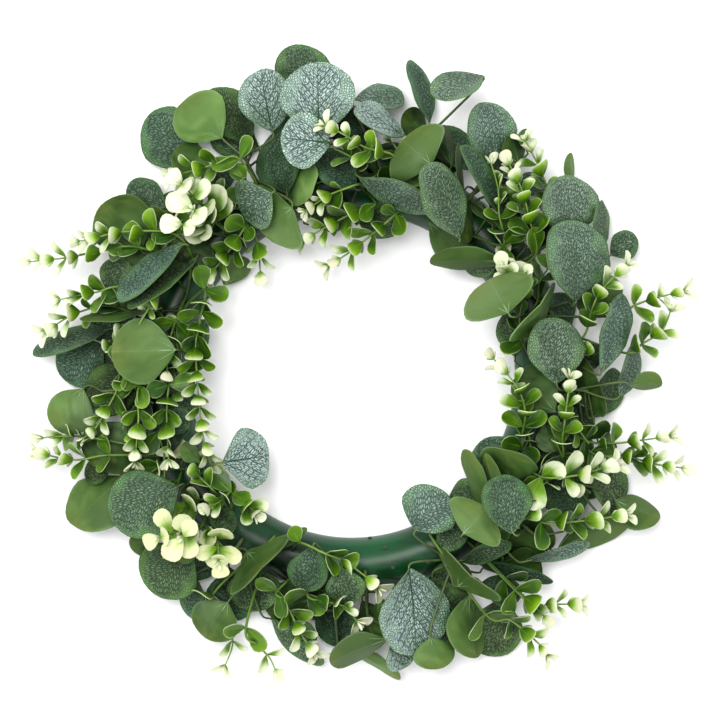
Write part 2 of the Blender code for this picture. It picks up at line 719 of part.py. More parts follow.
def draw_out(points, faces, side, leaves, sign):
    """Draws one side of a stem out into a small leaf that ends in an upright edge."""
    flank = leaves.axis.cross(leaves.radial() * sign) * (leaves.width / 2)
    widest, tip, normal = leaves.leaf(sign)
    half = normal * (PAIR_THICKNESS / 2)
    start = len(points)
    points += [widest - flank - half, widest + flank - half,
               widest + flank + half, widest - flank + half, tip - half, tip + half]
    wide = tuple(range(start, start + 4))
    low_tip, high_tip = start + 4, start + 5
    for i in range(4):
        j = (i + 1) % 4
        faces.append((side[i], side[j], wide[j], wide[i]))
    faces.append((wide[0], wide[1], low_tip))
    faces.append((wide[2], wide[3], high_tip))
    faces.append((wide[1], wide[2], high_tip, low_tip))
    faces.append((wide[3], wide[0], low_tip, high_tip))


class Space:
    """What already stands in the wreath, so that a new piece can be kept clear of it."""

    def __init__(self):
        self.held = []

    def add(self, node, role, mesh):
        """Keeps a piece, with the node and the role that it has there."""
        self.held.append((node, role, *bounds(mesh), tree_of(mesh)))

    def clear(self, node, mesh, own_roles=("blade",)):
        """Whether a piece meets nothing but pieces of its own node in other roles."""
        low, high = bounds(mesh)
        if low.z < LOWEST_POINT or high.z > HIGHEST_POINT:
            return False
        tree = None
        for other, role, other_low, other_high, other_tree in self.held:
            if other == node and role not in own_roles:
                continue
            if any(low[i] > other_high[i] or high[i] < other_low[i] for i in range(3)):
                continue
            tree = tree or tree_of(mesh)
            if tree.overlap(other_tree):
                return False
        return True


def bounds(mesh):
    """The corners of a mesh's box."""
    low = Vector([min(p[i] for p in mesh.points) for i in range(3)])
    high = Vector([max(p[i] for p in mesh.points) for i in range(3)])
    return low, high


def tree_of(mesh):
    """A mesh's search tree."""
    return BVHTree.FromPolygons(mesh.points, mesh.faces)


def by_cost(*choices):
    """Every combination of (value, cost) choices, the cheapest first."""
    combined = sorted(product(*choices), key=lambda picks: sum(cost for _, cost in picks))
    return [tuple(value for value, _ in picks) for picks in combined]


def both_ways(values, cost):
    """Zero and each value either way, at a cost for each unit."""
    ways = [(0.0, 0.0)]
    for value in values:
        ways += [(value, value * cost), (-value, value * cost * BACKWARD_COST)]
    return ways


LEAF_MOVES = by_cost(
    both_ways(LIFTS, LIFT_COST),
    both_ways(TILTS, TILT_COST),
    both_ways(ROLLS, ROLL_COST),
    both_ways(SWINGS, SWING_COST),
)
STEM_MOVES = by_cost(STEM_RISES, both_ways(LIFTS, LIFT_COST))
PAIR_MOVES = by_cost(both_ways(PAIR_TURNS, PAIR_TURN_COST), PAIR_OPENINGS, PAIR_SCALES)


class Plant:
    """One node: its stems, stalks and leaves, with a search for room for each."""

    def __init__(self, name, space, peg, radius):
        self.name = name
        self.space = space
        self.peg = peg
        self.radius = radius
        self.pieces = []
        self.stems = []
        self.used_starts = []
        self.rise = None
        peg_guard = tube([self.foot(), self.crown()], radius + CLEARANCE, PEG_SIDES)
        space.add(name, "stem", peg_guard)

    def foot(self):
        """The bottom of the peg, inside the ring's channel."""
        return self.peg + Vector((0, 0, PEG_FOOT))

    def crown(self):
        """The top of the peg, where its stems begin."""
        return self.peg + Vector((0, 0, ring_top(ring_radius(self.peg)) + PEG_RISE))

    def place_stem(self, route):
        """Finds a way for a stem along a route, moved up or down until it is clear."""
        for rise, lift in STEM_MOVES:
            if self.stems:
                rise = self.rise - STEM_SUNK
            path = [self.crown() + Vector((0, 0, rise))]
            path += [point + Vector((0, 0, lift)) for point in route]
            guard = tube(path, self.radius + CLEARANCE, PEG_SIDES)
            if self.space.clear(self.name, guard, ()):
                self.space.add(self.name, "stem", guard)
                self.stems.append(path)
                self.rise = rise if self.rise is None else self.rise
                return
        print("no room for a stem of", self.name)

    def starts(self, base):
        """Points on the stems from which a stalk may leave, the nearest first."""
        found = []
        for path in self.stems:
            for a, b in zip(path, path[1:]):
                found += [a.lerp(b, share) for share in STALK_STARTS]
        free = [point for point in found if point not in self.used_starts]
        return sorted(free, key=lambda point: (point - base).length)[:STALK_TRIES]

    def grow_leaf(self, leaf):
        """A blade on its stalk, in the first pose that has room."""
        for lift, tilt, roll, swing in LEAF_MOVES:
            pose = leaf_pose(leaf, lift, tilt, roll, swing)
            stub = [pose.base - pose.along * STALK_RADIUS]
            guard = leaf_mesh(leaf, pose, stub, CLEARANCE)
            if not self.space.clear(self.name, guard, ("blade", "stalk", "stem")):
                continue
            for start, bow in product(self.starts(pose.base), STALK_BOWS):
                knee = pose.base - pose.along * STALK_KNEE
                knee += pose.upward * bow[0] + pose.across * bow[1]
                if (knee - start).normalized().dot((pose.base - knee).normalized()) < SHARPEST:
                    continue
                away = start + (knee - start).normalized() * STALK_FREE
                bent = [away, knee, pose.base]
                stalk_guard = tube(bent, STALK_RADIUS + CLEARANCE, STALK_SIDES)
                if self.space.clear(self.name, stalk_guard, ("blade", "stalk")):
                    self.pieces.append(leaf_mesh(leaf, pose, [start, knee]))
                    self.space.add(self.name, "blade", guard)
                    self.space.add(self.name, "stalk", stalk_guard)
                    self.used_starts.append(start)
                    return
        print("no room for a leaf of", self.name, leaf)

    def leaf_out(self, path):
        """The small leaves of one stem: pairs that cross each other, smaller to the tip."""
        bare = (path[1] - path[0]).length
        span = sum((b - a).length for a, b in zip(path, path[1:])) - bare - PAIR_NECK
        count = max(LEAST_PAIRS, round(span / PAIR_STEP) + 1)
        tip_length, tip_opening = PAIR_TIP_LENGTH_AND_OPENING
        if self.name.endswith("rosettes"):
            tip_length, tip_opening = ROSETTE_TIP_LENGTH_AND_OPENING
        pairs = []
        for i in range(count):
            share = i / (count - 1)
            distance = bare + share * span
            place, axis = along_path(path, distance)
            length = PAIR_ROOT_LENGTH + (tip_length - PAIR_ROOT_LENGTH) * share
            opening = PAIR_ROOT_OPENING + (tip_opening - PAIR_ROOT_OPENING) * share
            leaves = Pair(distance, place, axis, QUARTER_TURN * (i % 2), opening, length,
                          length * PAIR_WIDTH_SHARE)
            pairs += self.fit_pair(leaves)
        if not self.pieces:
            drop = (path[0] - self.foot()).length
            path = [self.foot()] + path
            pairs = [leaves._replace(distance=leaves.distance + drop) for leaves in pairs]
        self.pieces.append(leafy_stem(path, pairs))

    def fit_pair(self, leaves):
        """The pair, turned or narrowed until it has room, or nothing."""
        for turn, opening, scale in PAIR_MOVES:
            fitted = leaves._replace(
                azimuth=leaves.azimuth + turn, opening=leaves.opening + opening,
                length=leaves.length * scale, width=leaves.width * scale)
            guard = pair_guard(fitted)
            if self.space.clear(self.name, guard):
                self.space.add(self.name, "blade", guard)
                return [fitted]
        print("no room for a pair of", self.name)
        return []


def along_path(path, distance):
    """The point and the direction at a distance along a path."""
    for a, b in zip(path, path[1:]):
        step = (b - a).length
        if distance <= step:
            return a.lerp(b, distance / step), (b - a).normalized()
        distance -= step
    return path[-1], (path[-1] - path[-2]).normalized()


def facet_middle(angle, taken=()):
    """The angle of the middle of the ring's nearest free facet."""
    step = 360.0 / RING_STEPS
    facet = int(angle // step)
    for shift in FACET_SHIFTS:
        if (facet + shift) % RING_STEPS not in taken:
            facet = (facet + shift) % RING_STEPS
            break
    return facet, (facet + 0.5) * step


def spray_groups():
    """The large leaves, grouped by the sector of the ring over which their bases lie."""
    groups = {}
    for leaf in LEAVES:
        angle = ring_angle(plan(leaf.base_x_px, leaf.base_y_px))
        groups.setdefault(int(angle // SPRAY_SECTOR), []).append(leaf)
    return groups


def spray_route(leaves, angle):
    """The stem's way out from the ring towards its leaves."""
    bases = [plan(leaf.base_x_px, leaf.base_y_px) for leaf in leaves]
    outer = [b for b in bases if ring_radius(b) > RING_MIDDLE_RADIUS] or bases
    reach = sum(ring_radius(b) for b in outer) / len(outer)
    reach = min(max(reach, SPRAY_STEM_LEAST_RADIUS_IN_PLAN), SPRAY_STEM_MOST_RADIUS_IN_PLAN)
    halfway = (SPRAY_PEG_RADIUS_IN_PLAN + reach) / 2
    return [on_ring(halfway, angle, SPRAY_STEM_HEIGHT),
            on_ring(reach, angle, SPRAY_STEM_HEIGHT - SPRAY_STEM_DROOP)]


def make_sprays(space):
    """One plant for each group of large leaves, with its stem."""
    sprays = []
    for sector, leaves in sorted(spray_groups().items()):
        bases = [plan(leaf.base_x_px, leaf.base_y_px) for leaf in leaves]
        middle = sum(bases, Vector((0, 0, 0))) / len(bases)
        _, angle = facet_middle(ring_angle(middle))
        peg = on_ring(SPRAY_PEG_RADIUS_IN_PLAN, angle)
        spray = Plant(f"leaf_spray_{sector + 1:02d}", space, peg, SPRAY_STEM_RADIUS)
        spray.place_stem(spray_route(leaves, angle))
        for path in spray.stems:
            spray.pieces.append(tube([spray.foot()] + path, spray.radius, PEG_SIDES))
        sprays.append((spray, leaves))
    return sprays


def make_sprigs(space):
    """One plant for each sprig, with its stems."""
    sprigs = []
    taken = []
    for sprig in SPRIGS:
        facet, angle = facet_middle(sprig.peg_angle, taken)
        taken.append(facet)
        peg = on_ring(SPRIG_PEG_RADIUS_IN_PLAN, angle)
        plant = Plant(f"sprig_{sprig.name}", space, peg, SPRIG_STEM_RADIUS)
        for stops in sprig.stems:
            plant.place_stem([plan(stop.x_px, stop.y_px, stop.height) for stop in stops])
        sprigs.append(plant)
    return sprigs


def material(name, colour, roughness):
    """A plain finish."""
    made = bpy.data.materials.new(name)
    made.use_nodes = True
    shader = made.node_tree.nodes["Principled BSDF"]
    shader.inputs["Base Color"].default_value = (*colour, 1.0)
    shader.inputs["Roughness"].default_value = roughness
    shader.inputs["Metallic"].default_value = 0.0
    made.diffuse_color = (*colour, 1.0)
    return made


def blender_mesh(name, mesh, split=True):
    """A mesh in metres, split into triangles unless its faces are flat."""
    made = bpy.data.meshes.new(name)
    points = [point * METRES_PER_MM for point in mesh.points]
    made.from_pydata(points, [], mesh.faces)
    if split:
        shape = bmesh.new()
        shape.from_mesh(made)
        bmesh.ops.triangulate(shape, faces=shape.faces)
        shape.to_mesh(made)
        shape.free()
    return made


def new_object(name, mesh, split=True):
    """An object in the scene that holds a mesh."""
    made = bpy.data.objects.new(name, blender_mesh(name, mesh, split))
    bpy.context.scene.collection.objects.link(made)
    return made


def evaluated_copy(body):
    """The mesh that an object's modifiers make."""
    graph = bpy.context.evaluated_depsgraph_get()
    return bpy.data.meshes.new_from_object(body.evaluated_get(graph))


def whole(mesh):
    """Whether a mesh is closed and in one piece."""
    shape = bmesh.new()
    shape.from_mesh(mesh)
    closed = all(len(edge.link_faces) == 2 for edge in shape.edges)
    reached = set(shape.faces[:1])
    waiting = list(reached)
    while waiting:
        for edge in waiting.pop().edges:
            for face in edge.link_faces:
                if face not in reached:
                    reached.add(face)
                    waiting.append(face)
    found = closed and 0 < len(shape.faces) == len(reached)
    shape.free()
    return found


def fused(name, pieces):
    """One body from the pieces of a node."""
    body = new_object(name, pieces[0])
    if len(pieces) == 1:
        return body
    group = bpy.data.collections.new(name + "_pieces")
    for i, piece in enumerate(pieces[1:]):
        part = bpy.data.objects.new(f"{name}_piece_{i}", blender_mesh(name, piece))
        group.objects.link(part)
    union = body.modifiers.new("union", "BOOLEAN")
    union.operation = "UNION"
    union.operand_type = "COLLECTION"
    union.collection = group
    union.solver = "EXACT"
    joined = evaluated_copy(body)
    if not whole(joined):
        union.solver = "MANIFOLD"
        joined = evaluated_copy(body)
    body.modifiers.clear()
    body.data = joined
    for part in list(group.objects):
        bpy.data.objects.remove(part)
    bpy.data.collections.remove(group)
    return body


def make_ring(plants):
    """The moulded ring, with a plain hole round each peg."""
    ring = new_object("ring", turned_ring(), split=False)
    holes = Mesh([], [])
    for plant in plants:
        beyond = plant.crown() + Vector((0, 0, HOLE_REACH))
        cutter = tube([plant.foot(), beyond], plant.radius + HOLE_GAP, PEG_SIDES)
        start = len(holes.points)
        holes.points.extend(cutter.points)
        holes.faces.extend(tuple(i + start for i in face) for face in cutter.faces)
    cutters = new_object("ring_hole_cutters", holes, split=False)
    cutters.hide_render = True
    cutters.display_type = "WIRE"
    cut = ring.modifiers.new("holes", "BOOLEAN")
    cut.operation = "DIFFERENCE"
    cut.object = cutters
    cut.solver = "EXACT"
    ring.data.materials.append(material(*RING_FINISH))
    return ring


def finish_of(name):
    """The finish of a plant's node."""
    if name in [f"sprig_{sprig}" for sprig in CREAM_SPRIGS]:
        return CREAM_FINISH
    return SPRIG_FINISH if name.startswith("sprig") else LEAF_FINISH


def main():
    """Clears the scene and builds the wreath."""
    for old in list(bpy.data.objects):
        bpy.data.objects.remove(old)
    space = Space()
    space.add("ring", "ring", turned_ring(CLEARANCE))
    sprays = make_sprays(space)
    sprigs = make_sprigs(space)
    waiting = [(-leaf.height, i, spray, leaf)
               for spray, leaves in sprays for i, leaf in enumerate(leaves)]
    for _, _, spray, leaf in sorted(waiting, key=lambda item: (item[0], item[2].name, item[1])):
        spray.grow_leaf(leaf)
    for sprig in sprigs:
        for path in sprig.stems:
            sprig.leaf_out(path)
    plants = [spray for spray, _ in sprays] + sprigs
    make_ring(plants)
    for plant in plants:
        body = fused(plant.name, plant.pieces)
        body.data.materials.append(material(*finish_of(plant.name)))


main()
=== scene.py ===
"""The looks of the eucalyptus wreath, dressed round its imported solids.

The moulded ring, the sprays of large round leaves and the sprigs of small paired leaves
each have a class. The tables of leaves and stems and the search for room are those of the
part's source, so every fine blade lies where its solid is. Lengths are in millimetres
until a mesh is made.
"""

import logging
import math
import random
from collections.abc import Callable, Iterable, Mapping, Sequence
from dataclasses import dataclass, field
from enum import Enum
from itertools import product
from typing import NamedTuple

import bpy
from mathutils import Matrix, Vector
from mathutils.bvhtree import BVHTree


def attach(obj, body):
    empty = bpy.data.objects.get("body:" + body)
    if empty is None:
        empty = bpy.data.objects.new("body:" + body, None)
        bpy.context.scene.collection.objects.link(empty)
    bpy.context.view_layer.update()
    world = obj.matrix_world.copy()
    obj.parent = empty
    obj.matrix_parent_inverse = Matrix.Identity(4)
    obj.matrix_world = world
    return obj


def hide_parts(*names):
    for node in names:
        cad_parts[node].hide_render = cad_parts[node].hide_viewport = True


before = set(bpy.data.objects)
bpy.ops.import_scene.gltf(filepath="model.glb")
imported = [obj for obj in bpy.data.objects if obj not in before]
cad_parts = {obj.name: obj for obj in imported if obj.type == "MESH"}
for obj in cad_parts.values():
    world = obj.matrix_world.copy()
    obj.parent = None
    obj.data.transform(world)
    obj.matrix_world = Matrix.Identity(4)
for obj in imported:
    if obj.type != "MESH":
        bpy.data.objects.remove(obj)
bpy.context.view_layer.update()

LOG = logging.getLogger("wreath")

# Driving dimensions, the same as in the part's source
METRES_PER_MM = 0.001
RING_MIDDLE_RADIUS = 148.0
RING_WIDTH = 42.0
RING_HEIGHT = 24.0
RING_WALL = 2.4
RING_STEPS = 48
RING_ARC_STEPS = 6
RING_CENTRE = Vector((-3.908, -10.287, 0.0))
MM_PER_PX = 0.77
RING_CENTRE_X_PX = 352.0
RING_CENTRE_Y_PX = 375.0
PEG_SIDES = 4
PEG_FOOT = 13.0
PEG_RISE = 3.0
STEM_SUNK = 1.5
FACET_OFFSET = RING_WIDTH / 8
SPRAY_PEG_RADIUS_IN_PLAN = RING_MIDDLE_RADIUS + FACET_OFFSET
SPRIG_PEG_RADIUS_IN_PLAN = RING_MIDDLE_RADIUS - FACET_OFFSET
FACET_SHIFTS = (0, 1, -1, 2, -2)
SPRAY_SECTOR = 15.0
SPRAY_STEM_RADIUS = 1.8
SPRAY_STEM_HEIGHT = 33.0
SPRAY_STEM_LEAST_RADIUS_IN_PLAN = RING_MIDDLE_RADIUS + 4
SPRAY_STEM_MOST_RADIUS_IN_PLAN = 205.0
SPRAY_STEM_DROOP = 1.0
STALK_RADIUS = 1.0
STALK_SIDES = 3
STALK_KNEE = 7.0
STALK_FREE = 3.0
SHARPEST = 0.0
LEAF_THICKNESS = 0.8
LEAF_WIDEST_SHARE = 0.95
LEAF_MOST_ROLL = 50.0
LEAF_CUP = 0.16
LEAF_ROWS = ((0.27, 0.44), (0.7, 0.46))
LEAF_TIP_HALF = 0.2
SPRIG_STEM_RADIUS = 1.2
PAIR_STEP = 29.0
PAIR_THICKNESS = 0.7
PAIR_NECK = 1.4
PAIR_ROOT_OPENING = 58.0
QUARTER_TURN = 90.0
PAIR_ROOT_LENGTH = 17.0
PAIR_TIP_LENGTH_AND_OPENING = (12.5, 40.0)
ROSETTE_TIP_LENGTH_AND_OPENING = (17.0, 66.0)
PAIR_WIDTH_SHARE = 0.9
PAIR_WIDEST_AT = 0.58
PAIR_CUP = 0.14
LEAST_PAIRS = 2
STEEP = 0.2
CLEARANCE = 0.35
LOWEST_POINT = 1.5
HIGHEST_POINT = 94.0
LIFTS = (2, 4, 6, 8, 10, 13, 16, 20, 25, 30)
LIFT_COST = 1.0
TILTS = (8, 16, 24, 34)
TILT_COST = 0.6
ROLLS = (10, 20, 35)
ROLL_COST = 0.3
SWINGS = (10, 20)
SWING_COST = 1.6
PAIR_TURNS = (15, 30, 45)
PAIR_TURN_COST = 1.0
BACKWARD_COST = 1.05
STEM_RISES = ((0.0, 0.0), (4.0, 5.0), (9.0, 9.0))
PAIR_OPENINGS = ((0.0, 0.0), (-14.0, 12.0), (14.0, 14.0), (-24.0, 30.0))
PAIR_SCALES = ((1.0, 0.0), (0.85, 35.0), (0.7, 70.0))
STALK_BOWS = ((0, 0), (0, 4), (0, -4), (4, 0), (-4, 0), (0, 9), (0, -9), (9, 0), (-9, 0))
STALK_STARTS = (0.1, 0.28, 0.46, 0.64, 0.82, 0.97)
STALK_TRIES = 4
CREAM_SPRIGS = ("white_rosettes", "cream_rosettes", "right_white", "hole_white")

# What only the looks need
IMAGE_PX = 720
FINE_PAIRS_BETWEEN = 2
UNDERGROWTH_SEED = 5
UNDERGROWTH_LENGTHS = (24.0, 40.0)
UNDERGROWTH_WIDTH_SHARES = (0.7, 1.0)
UNDERGROWTH_TURNS = (20.0, 110.0)
UNDERGROWTH_DIPS = (-10, 25)
UNDERGROWTH_MIDDLE = 0.6
UNDERGROWTH_SPRAYS = 2
UNDERGROWTH_HEIGHTS = (27.0, 42.0)
UNDERGROWTH_HEIGHTS_BESIDE_RING = (9.0, 36.0)
SIDE_STEM_SEED = 8
SIDE_STEM_TRIES = 24
SIDE_STEMS_MOST = 3
SIDE_STEM_RADII = (131.0, 190.0)
SIDE_STEM_LENGTHS = (36.0, 62.0)
SIDE_STEM_HEIGHTS = (38.0, 56.0)
SIDE_STEM_HEIGHT_SHARES = (0.7, 1.0, 0.95)
SIDE_STEM_BENDS = (-35.0, 35.0)
BARE_STRETCH = (225.0, 303.0)
BESIDE_BARE_STRETCH = (218.0, 310.0)
UNDERGROWTH_NUDGE = 6.0
BLOOM_PLACES_PX = ((300.0, 95.0), (410.0, 620.0), (250.0, 460.0))
BLOOM_REACH_PX = (60.0, 115.0)
BRIGHT_PLACES_PX = ((190.0, 100.0), (300.0, 195.0), (535.0, 310.0))
BRIGHT_REACH_PX = (25.0, 60.0)
BLOOM_LEAST = 0.3
BLOOM_SPREAD = 0.18
FRONT_FOLD = (0.02, 0.12)
BACK_FOLD = (0.08, 0.22)
HOOK_DRAW = 0.45
CORNER_CUTS = (0.25, 0.75)
BACK_TINTS = (0.0, 0.5)
BACK_BLOOM = 0.4
STUBS_PX = ((385.0, 549.0), (393.0, 568.0), (428.0, 563.0), (370.0, 540.0))
STUB_SUNK = 1.0
STUB_RISE = 0.9
STUB_RADIUS = 1.5
STAR_LENGTH = 8.5
STAR_WIDTH = 2.6
CAMERA_HEIGHT_MM = 2600.0
SENSOR_MM = 36.0

Point = Vector
Path = Sequence[Point]
Corners = tuple[int, ...]
Span = tuple[float, float]
Piece = bpy.types.Object
Material = bpy.types.Material
DOWN = Vector((0.0, 0.0, -1.0))


class Face(Enum):
    """Which face of a large leaf looks up."""

    PALE = "netted front, pale"
    DEEP = "netted front, dark"
    PLAIN = "plain back"


class Shell(Enum):
    """The three kinds of face on a blade's closed skin."""

    FRONT = 0
    BACK = 1
    RIM = 2


class Leaf(NamedTuple):
    """A large leaf: which face shows, its base and tip, how wide it looks, and its pose."""

    face: Face
    base_x_px: float
    base_y_px: float
    tip_x_px: float
    tip_y_px: float
    width_px: float
    height: float
    dip: float = 0.0


FRONT, DARK, BACK = Face


class Round(NamedTuple):
    """One search for lower leaves: how many tries, how much of others one may hide, where."""

    tries: int
    hidden: float
    angles: Span
    base_radii: Span
    tip_radii: Span


LEAFY_ANGLES = (BARE_STRETCH[1], BARE_STRETCH[0] + 360.0)
UNDERGROWTH_ROUNDS = (
    Round(4200, 0.0, LEAFY_ANGLES, (120.0, 205.0), (122.0, 218.0)),
    Round(2400, 0.3, LEAFY_ANGLES, (120.0, 205.0), (122.0, 218.0)),
    Round(1800, 0.3, BESIDE_BARE_STRETCH, (174.0, 205.0), (172.0, 218.0)),
)

LEAVES = tuple(Leaf(*row) for row in (
    (DARK, 190, 172, 150, 108, 60, 12, -5),
    (DARK, 258, 146, 207, 135, 42, 13),
    (BACK, 210, 172, 172, 152, 40, 22, 10),
    (DARK, 250, 142, 212, 87, 45, 25, 10),
    (BACK, 222, 138, 182, 100, 60, 34, 15),
    (DARK, 288, 195, 262, 132, 50, 27, -12),
    (FRONT, 273, 133, 258, 73, 55, 38, 12),
    (FRONT, 272, 195, 240, 215, 55, 40, -35),
    (BACK, 293, 209, 264, 222, 76, 46, -58),
    (BACK, 300, 150, 303, 208, 30, 44, 10),
    (DARK, 312, 105, 298, 41, 57, 20),
    (FRONT, 330, 145, 284, 140, 58, 44, 15),
    (FRONT, 319, 140, 318, 64, 75, 56),
    (DARK, 355, 190, 322, 150, 50, 34),
    (FRONT, 355, 98, 404, 92, 30, 20),
    (FRONT, 405, 138, 360, 104, 35, 40, 15),
    (DARK, 430, 122, 415, 56, 25, 18),
    (FRONT, 482, 76, 425, 100, 32, 28),
    (DARK, 478, 170, 435, 127, 40, 24),
    (BACK, 452, 165, 438, 126, 24, 30),
    (FRONT, 460, 240, 428, 163, 45, 36, 10),
    (BACK, 429, 166, 406, 146, 76, 56, -55),
    (FRONT, 358, 178, 435, 215, 28, 46),
    (BACK, 465, 200, 455, 142, 13, 42),
    (BACK, 463, 193, 465, 242, 20, 44, -15),
    (DARK, 500, 215, 462, 140, 22, 30),
    (FRONT, 492, 165, 490, 103, 50, 40, 10),
    (BACK, 520, 165, 510, 135, 25, 30),
    (BACK, 527, 150, 524, 128, 14, 24),
    (BACK, 573, 185, 569, 152, 12, 24, 10),
    (DARK, 612, 255, 638, 234, 30, 16, 5),
    (DARK, 598, 250, 607, 200, 24, 26),
    (FRONT, 567, 240, 572, 178, 73, 40, 8),
    (FRONT, 573, 303, 580, 220, 68, 54),
    (DARK, 560, 305, 530, 262, 50, 34),
    (BACK, 506, 314, 490, 285, 78, 50, -55),
    (BACK, 505, 262, 430, 258, 22, 40, -8),
    (DARK, 495, 266, 468, 274, 16, 28, -15),
    (BACK, 541, 330, 540, 297, 78, 42, 50),
    (FRONT, 555, 385, 553, 318, 60, 52, 5),
    (BACK, 555, 412, 520, 370, 50, 34),
    (BACK, 570, 390, 600, 375, 78, 36, 45),
    (FRONT, 601, 372, 625, 296, 32, 26),
    (DARK, 595, 418, 625, 372, 30, 14),
    (FRONT, 620, 397, 642, 348, 25, 16),
    (BACK, 630, 385, 661, 380, 18, 12),
    (DARK, 165, 205, 125, 184, 35, 14),
    (BACK, 140, 250, 105, 200, 62, 22, 5),
    (DARK, 165, 240, 140, 207, 40, 16),
    (BACK, 182, 243, 151, 206, 14, 34),
    (DARK, 185, 245, 117, 296, 28, 40),
    (DARK, 198, 258, 120, 292, 20, 32),
    (BACK, 180, 240, 208, 265, 25, 40, -10),
    (BACK, 158, 310, 82, 322, 12, 36),
    (DARK, 112, 328, 29, 350, 24, 22),
    (DARK, 103, 345, 58, 375, 55, 16),
    (BACK, 82, 388, 58, 432, 50, 12),
    (DARK, 140, 370, 85, 405, 55, 28, 5),
    (BACK, 178, 350, 114, 352, 66, 34),
    (BACK, 125, 422, 100, 470, 66, 24),
    (DARK, 110, 465, 82, 478, 25, 14),
    (BACK, 120, 476, 74, 527, 58, 18),
    (DARK, 180, 485, 112, 518, 72, 32),
    (DARK, 192, 548, 148, 590, 68, 30),
    (BACK, 200, 545, 175, 555, 25, 36),
    (FRONT, 222, 462, 271, 455, 61, 46, -10),
    (BACK, 200, 462, 182, 445, 20, 40),
    (BACK, 248, 552, 268, 572, 82, 50, 45),
    (BACK, 262, 548, 308, 531, 12, 38),
    (DARK, 250, 565, 255, 612, 60, 34, 15),
    (DARK, 228, 568, 232, 624, 52, 20),
    (DARK, 195, 580, 188, 620, 28, 12),
    (BACK, 228, 602, 204, 637, 50, 10),
    (DARK, 270, 620, 320, 671, 24, 12),
    (DARK, 335, 598, 340, 650, 45, 18),
    (BACK, 362, 602, 382, 645, 36, 22),
    (BACK, 388, 638, 328, 656, 32, 14),
    (BACK, 345, 650, 404, 679, 14, 8),
    (DARK, 313, 545, 305, 590, 42, 34),
    (DARK, 342, 566, 348, 602, 40, 28),
    (FRONT, 395, 632, 407, 672, 42, 14),
    (BACK, 430, 636, 438, 668, 45, 10),
    (BACK, 380, 597, 390, 640, 36, 30),
    (DARK, 432, 578, 458, 645, 60, 28),
    (FRONT, 408, 568, 422, 653, 70, 44),
    (BACK, 470, 596, 468, 658, 40, 20),
    (DARK, 500, 600, 497, 660, 56, 12),
    (BACK, 458, 586, 476, 566, 80, 48, 50),
    (FRONT, 415, 531, 440, 492, 58, 46, 20),
    (BACK, 462, 532, 484, 510, 66, 44, -45),
    (BACK, 490, 526, 466, 448, 18, 42),
    (DARK, 502, 482, 490, 437, 50, 30),
    (BACK, 508, 482, 508, 444, 60, 42, 35),
    (DARK, 510, 531, 500, 474, 52, 38),
    (BACK, 506, 527, 486, 453, 14, 50),
    (BACK, 500, 528, 557, 540, 36, 30),
    (DARK, 458, 561, 512, 545, 22, 40),
    (BACK, 498, 540, 547, 556, 30, 34),
    (FRONT, 525, 562, 592, 546, 16, 22),
    (BACK, 560, 550, 632, 518, 34, 14),
    (BACK, 615, 500, 659, 523, 32, 12),
    (DARK, 472, 562, 554, 585, 14, 26),
    (DARK, 575, 522, 560, 470, 50, 26),
    (DARK, 610, 517, 606, 458, 38, 20),
))


class Sprig(NamedTuple):
    """The stems that one peg carries, and the angle round the ring at which it stands.

    Each point that a stem goes through is its place in the photo and its height.
    """

    name: str
    peg_angle: float
    stems: tuple[tuple[tuple[float, float, float], ...], ...]


